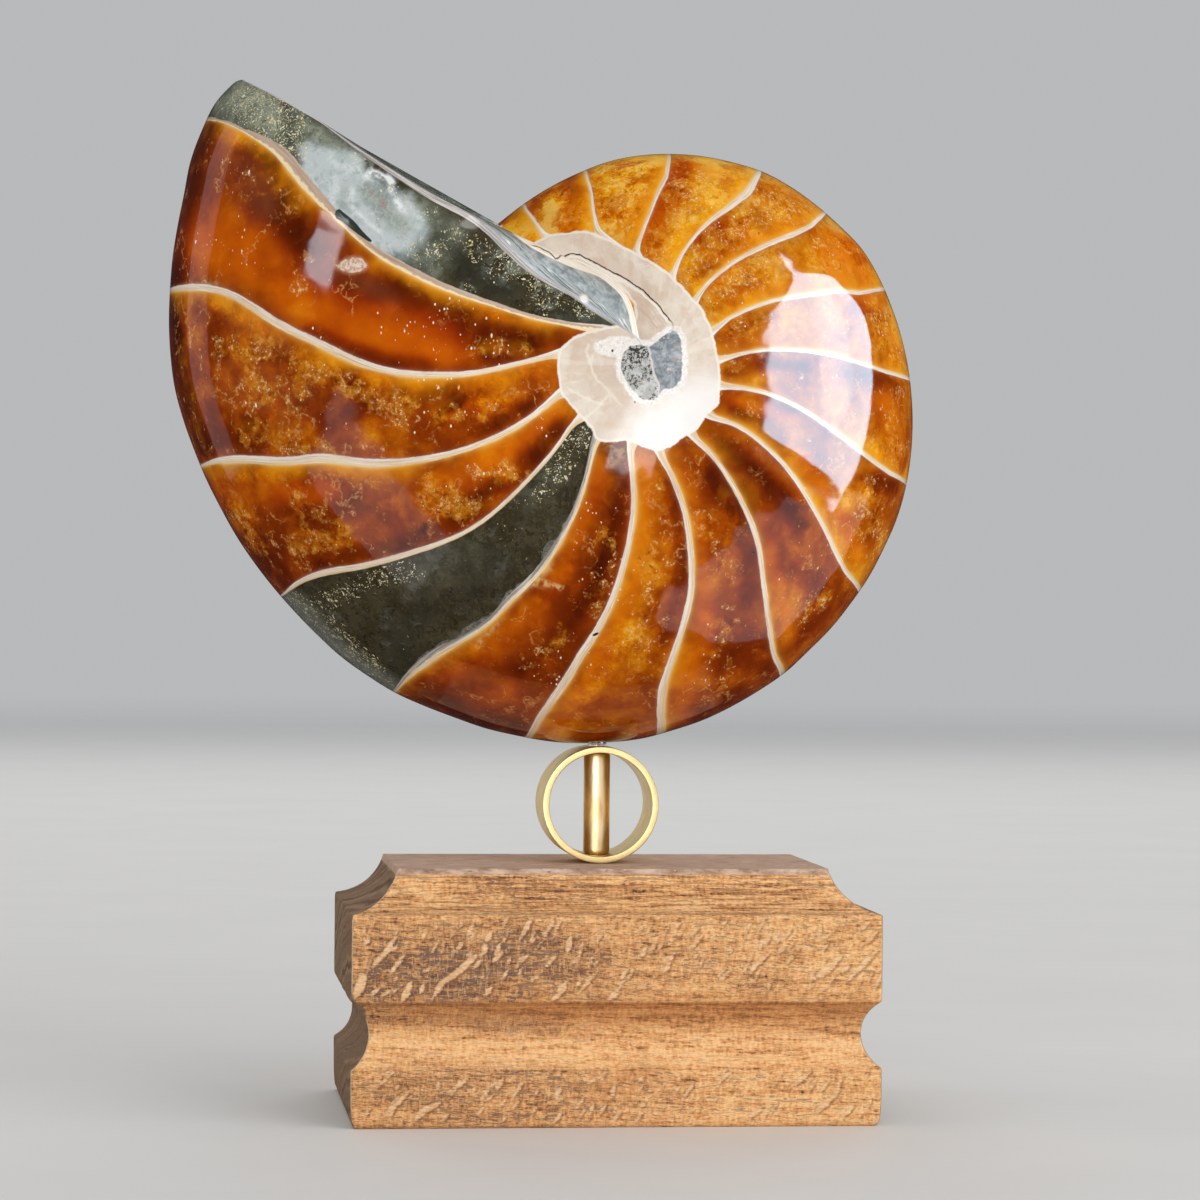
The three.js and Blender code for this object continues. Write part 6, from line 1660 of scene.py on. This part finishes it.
    # painted highlight: the pale line along the upright corner arrises
    arris = m.step(m.attr("arris") + (fine - 0.5) * 0.35, 0.25, 0.70) * (1 - top)
    wood = m.mix(arris * 0.80, wood, rgb(216, 196, 168))
    height = fine * 0.5 + dash * 0.5 + lines * 0.4 - pores * 0.35 + fm * 0.9 + streak * cove * 0.5
    normal = m.bump(height, 0.60, 0.00022)
    rough = 0.62 - fm * 0.16 + pores * 0.20
    m.surface(Base_Color=wood, Roughness=rough, Normal=normal, IOR=1.45, Specular_IOR_Level=0.28)
    return m.material


block = base()
block.data.materials.append(oak_material())
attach(block, "root")
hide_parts("oak_base")


# ------------------------------------------------------------------ brass and steel
def lathe(name, profile, axis, centre, segments, closed):
    """A turned piece from [radius, along] pairs; closed joins the profile's ends to each other."""
    prof = np.array(profile, float)
    n = len(prof)
    a = np.linspace(0, 2 * np.pi, segments, endpoint=False)
    P = []
    for t in a:
        c, s = math.cos(t), math.sin(t)
        for r, h in prof:
            if axis == "Y":
                P.append((centre[0] + r * c, centre[1] + h, centre[2] + r * s))
            else:
                P.append((centre[0] + r * c, centre[1] + r * s, h))
    P = np.array(P)
    grid = np.arange(segments * n).reshape(segments, n)
    nxt = np.roll(grid, -1, axis=0)
    if closed:
        q = np.stack([grid, np.roll(grid, -1, axis=1), np.roll(nxt, -1, axis=1), nxt], -1).reshape(-1, 4)
        tris = np.zeros((0, 3), int)
    else:
        q = np.stack([grid[:, :-1], grid[:, 1:], nxt[:, 1:], nxt[:, :-1]], -1).reshape(-1, 4)
        P = np.vstack([P, [[centre[0], centre[1], prof[0, 1]], [centre[0], centre[1], prof[-1, 1]]]])
        k = segments * n
        tris = np.vstack([np.stack([np.full(segments, k), grid[:, 0], nxt[:, 0]], -1),
                          np.stack([grid[:, -1], np.full(segments, k + 1), nxt[:, -1]], -1)])
    ob = mesh_object(name, P, q, tris)
    tri = np.vstack([q[:, [0, 1, 2]], q[:, [0, 2, 3]], tris])
    if np.einsum("ij,ij->i", P[tri[:, 0]], np.cross(P[tri[:, 1]], P[tri[:, 2]])).sum() < 0:
        ob.data.flip_normals()
    return ob


def metal(name, kind):
    m = Net(name)
    at = m.point()
    x, y, z = m.split(at)
    if kind == "ring":
        turn = m.math("ARCTAN2", z - RING_Z, x - STEM_X)
        face = m.step(y.abs(), RING_HALF - 0.25, RING_HALF - 0.12)
        brush = m.noise(m.xyz(turn * 2.2, y * 7.0, 0.0), 1.6, 4, 0.7)
        saw = m.noise(m.xyz(x * 0.9, z * 5.0, 4.0), 1.5, 4, 0.7)
        stroke = m.fmix(face, brush, saw)
        tone = m.mix(m.step(m.noise(at, 0.35, 4, 0.6), 0.35, 0.65), rgb(214, 184, 110), rgb(232, 206, 138))
        tone = m.mix(m.step(stroke, 0.52, 0.74) * 0.4, tone, rgb(184, 150, 84))
        tone = m.mix(face * 0.55, tone, rgb(240, 224, 176))
        tone = m.mix(m.step(m.noise(at, 1.3, 4, 0.7), 0.60, 0.74) * 0.35, tone, rgb(150, 112, 64))
        rough = 0.30 + m.step(stroke, 0.3, 0.8) * 0.16 + face * 0.06
        height = stroke
    elif kind == "rod":
        brush = m.noise(m.xyz(m.math("ARCTAN2", y, x - STEM_X) * 2.2, z * 0.10, 0.0), 1.4, 3, 0.6)
        tone = m.mix(m.step(m.noise(m.xyz(x, y, z * 0.3), 0.6, 3, 0.6), 0.35, 0.65), rgb(234, 200, 150), rgb(248, 226, 186))
        tone = m.mix(m.step(brush, 0.52, 0.66) * 0.5, tone, rgb(196, 138, 96))
        tone = m.mix(m.step(m.noise(at, 1.2, 3, 0.6), 0.62, 0.74) * 0.25, tone, rgb(150, 106, 70))
        rough = 0.36 + m.step(brush, 0.3, 0.8) * 0.10
        height = brush
    else:
        brush = m.noise(m.xyz(m.math("ARCTAN2", y, x - STEM_X) * 4.0, z * 6.0, 0.0), 1.4, 4, 0.7)
        tone = m.mix(m.step(brush, 0.35, 0.7), rgb(206, 206, 208), rgb(232, 230, 228))
        rough = 0.2 + m.step(brush, 0.4, 0.8) * 0.12
        height = brush
    m.surface(Base_Color=tone, Metallic=1.0, Roughness=rough, Normal=m.bump(height, 0.35, 0.00003))
    return m.material


STEM_X, RING_Z, RING_HALF = -0.7, 47.35, 6.0


def soft_profile(corners, radius, n=4, closed=True):
    """A closed profile with rounded corners."""
    c = [np.array(p, float) for p in corners]
    out = []
    for i, b in enumerate(c):
        a, d = c[i - 1], c[(i + 1) % len(c)]
        u, v = (a - b) / np.hypot(*(a - b)), (d - b) / np.hypot(*(d - b))
        s, e = b + u * radius, b + v * radius
        out += [tuple((1 - h) ** 2 * s + 2 * h * (1 - h) * b + h * h * e) for h in np.linspace(0, 1, n + 1)]
    return out


def fill(profile, step, closed=True):
    pts = list(profile) + ([profile[0]] if closed else [])
    out = []
    for a, b in zip(pts, pts[1:]):
        k = max(1, int(math.ceil(math.dist(a, b) / step)))
        out += [(a[0] + (b[0] - a[0]) * i / k, a[1] + (b[1] - a[1]) * i / k) for i in range(k)]
    return out if closed else out + [pts[-1]]


ring_profile = fill(soft_profile([(8.0, -RING_HALF), (9.0, -RING_HALF), (9.0, RING_HALF), (8.0, RING_HALF)], 0.16), 0.8)
ring = lathe("brass_ring_band", ring_profile, "Y", (STEM_X, 0.0, RING_Z), 160, True)
ring.data.materials.append(metal("brass_ring_metal", "ring"))
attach(ring, "root")
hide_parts("brass_ring")

rod_lo, rod_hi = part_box("brass_rod")
rod_r = (rod_hi.x - rod_lo.x) * 500
z0, z1 = rod_lo.z * 1000, rod_hi.z * 1000
rod_profile = fill([(0.0, z0), (rod_r - 0.25, z0), (rod_r, z0 + 0.25), (rod_r, z1 - 0.3), (rod_r - 0.1, z1 - 0.1), (rod_r - 0.3, z1), (0.0, z1)][1:-1], 1.2, closed=False)
rod = lathe("brass_rod_turned", rod_profile, "Z", (STEM_X, 0.0, 0.0), 64, False)
# both ends are filed to the ring's inner curve, so that they meet it
for v in rod.data.vertices:
    dx = v.co.x * 1000 - STEM_X
    bow = math.sqrt(8.0 ** 2 - dx ** 2) - 0.03
    share = (v.co.z * 1000 - z0) / (z1 - z0)
    low, high = max(RING_Z - bow, z0 - 0.4), min(RING_Z + bow, z1 + 0.4)
    v.co.z = (low + (high - low) * share) / 1000
rod.data.update()
rod.data.materials.append(metal("brass_rod_metal", "rod"))
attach(rod, "root")
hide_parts("brass_rod")

stud_lo, stud_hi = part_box("steel_stud")
stud_r = (stud_hi.x - stud_lo.x) * 500
s0, s1 = stud_lo.z * 1000, stud_hi.z * 1000
threads = [(stud_r - 0.25, s0), (stud_r, s0 + 0.25)]
zz = s0 + 0.6
while zz + 0.5 < s1 - 0.4:
    threads += [(stud_r, zz), (stud_r - 0.22, zz + 0.16), (stud_r, zz + 0.32)]
    zz += 0.5
threads += [(stud_r, s1 - 0.3), (stud_r - 0.3, s1)]
stud = lathe("steel_stud_pin", threads, "Z", (STEM_X, 0.0, 0.0), 48, False)
stud.data.materials.append(metal("steel_stud_metal", "stud"))
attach(stud, "root")
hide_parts("steel_stud")

# ------------------------------------------------------------------ lights
AIM = Vector((0.0, -0.01, 0.105))


def panel(name, azimuth, elevation, width_deg, height_deg, radiance, color=(1, 1, 1), distance=1.6, **visible):
    """A softbox seen from the object at an azimuth (0 is -Y, 90 is +X) and elevation, both in degrees, as are its
    width and height; its radiance is in display-white units."""
    a, e = math.radians(azimuth), math.radians(elevation)
    d = Vector((math.sin(a) * math.cos(e), -math.cos(a) * math.cos(e), math.sin(e)))
    width = 2 * distance * math.tan(math.radians(width_deg / 2))
    height = 2 * distance * math.tan(math.radians(height_deg / 2))
    return area(name, AIM + d * distance, AIM, width, height, radiance * math.pi * width * height, color, **visible)


# what lights the object
panel("soft_right", 48, 22, 50, 44, 1.9, glossy=False)
panel("soft_front", 0, 20, 60, 36, 1.1, glossy=False)
panel("soft_left", -95, 10, 40, 60, 0.7, (1.0, 0.98, 0.96), glossy=False)
panel("soft_back", 175, 35, 60, 40, 1.2, glossy=False)
# what shows in its polish
stones = bpy.data.collections.new("stones")
stones.objects.link(stone)
for name, az, el, w, h, level, tint, shape, roll, far in (
        ("window", 58.1, 14.7, 43, 45.7, 14.0, (0.52, 0.80, 1.0), "RECTANGLE", -28, 1.6),
        ("window_core", 58, 16, 9, 13, 2.4, (1.0, 0.97, 1.0), "ELLIPSE", -20, 1.5),
        ("window_glow", 58, 16, 17, 26, 1.6, (1.0, 0.96, 1.0), "ELLIPSE", -20, 1.5),
        ("glare", 14.2, 13.9, 20, 6.6, 3.4, (1.0, 0.98, 0.98), "ELLIPSE", 44, 1.5),
        ("card_left", -41.2, 8.6, 8.7, 5.1, 6.5, (0.9, 0.93, 1.0), "RECTANGLE", -15, 1.6),
        ("board_left", -104, 3, 22, 54, 0.55, (0.9, 0.92, 1.0), "RECTANGLE", 0, 1.6),
        ("low_right", 60, -30, 52, 34, 1.0, (0.86, 0.90, 1.0), "RECTANGLE", -4, 1.6),
        ("low_left", -37, -28.5, 22, 22, 0.75, (0.95, 0.94, 1.0), "RECTANGLE", 40, 1.6)):
    card = panel(name, az, el, w, h, level, tint, distance=far, diffuse=False, shape=shape, roll=roll)
    card.light_linking.receiver_collection = stones
# what the brass and steel mirror
metals = bpy.data.collections.new("metals")
for piece in (ring, rod, stud):
    metals.objects.link(piece)
for name, az, el, w, h, level in (("metal_front", -18, 12, 70, 50, 1.05), ("metal_key", -17, 4, 30, 60, 3.2), ("metal_fill", 46, 8, 54, 60, 1.0), ("metal_left", -92, 5, 76, 80, 1.15),
                                  ("metal_right", 105, 8, 50, 70, 0.6), ("metal_back", 180, 5, 110, 80, 0.55), ("metal_low", -5, -30, 80, 30, 0.5)):
    card = panel(name, az, el, w, h, level, (1.0, 0.97, 0.93), distance=1.7, diffuse=False)
    card.light_linking.receiver_collection = metals
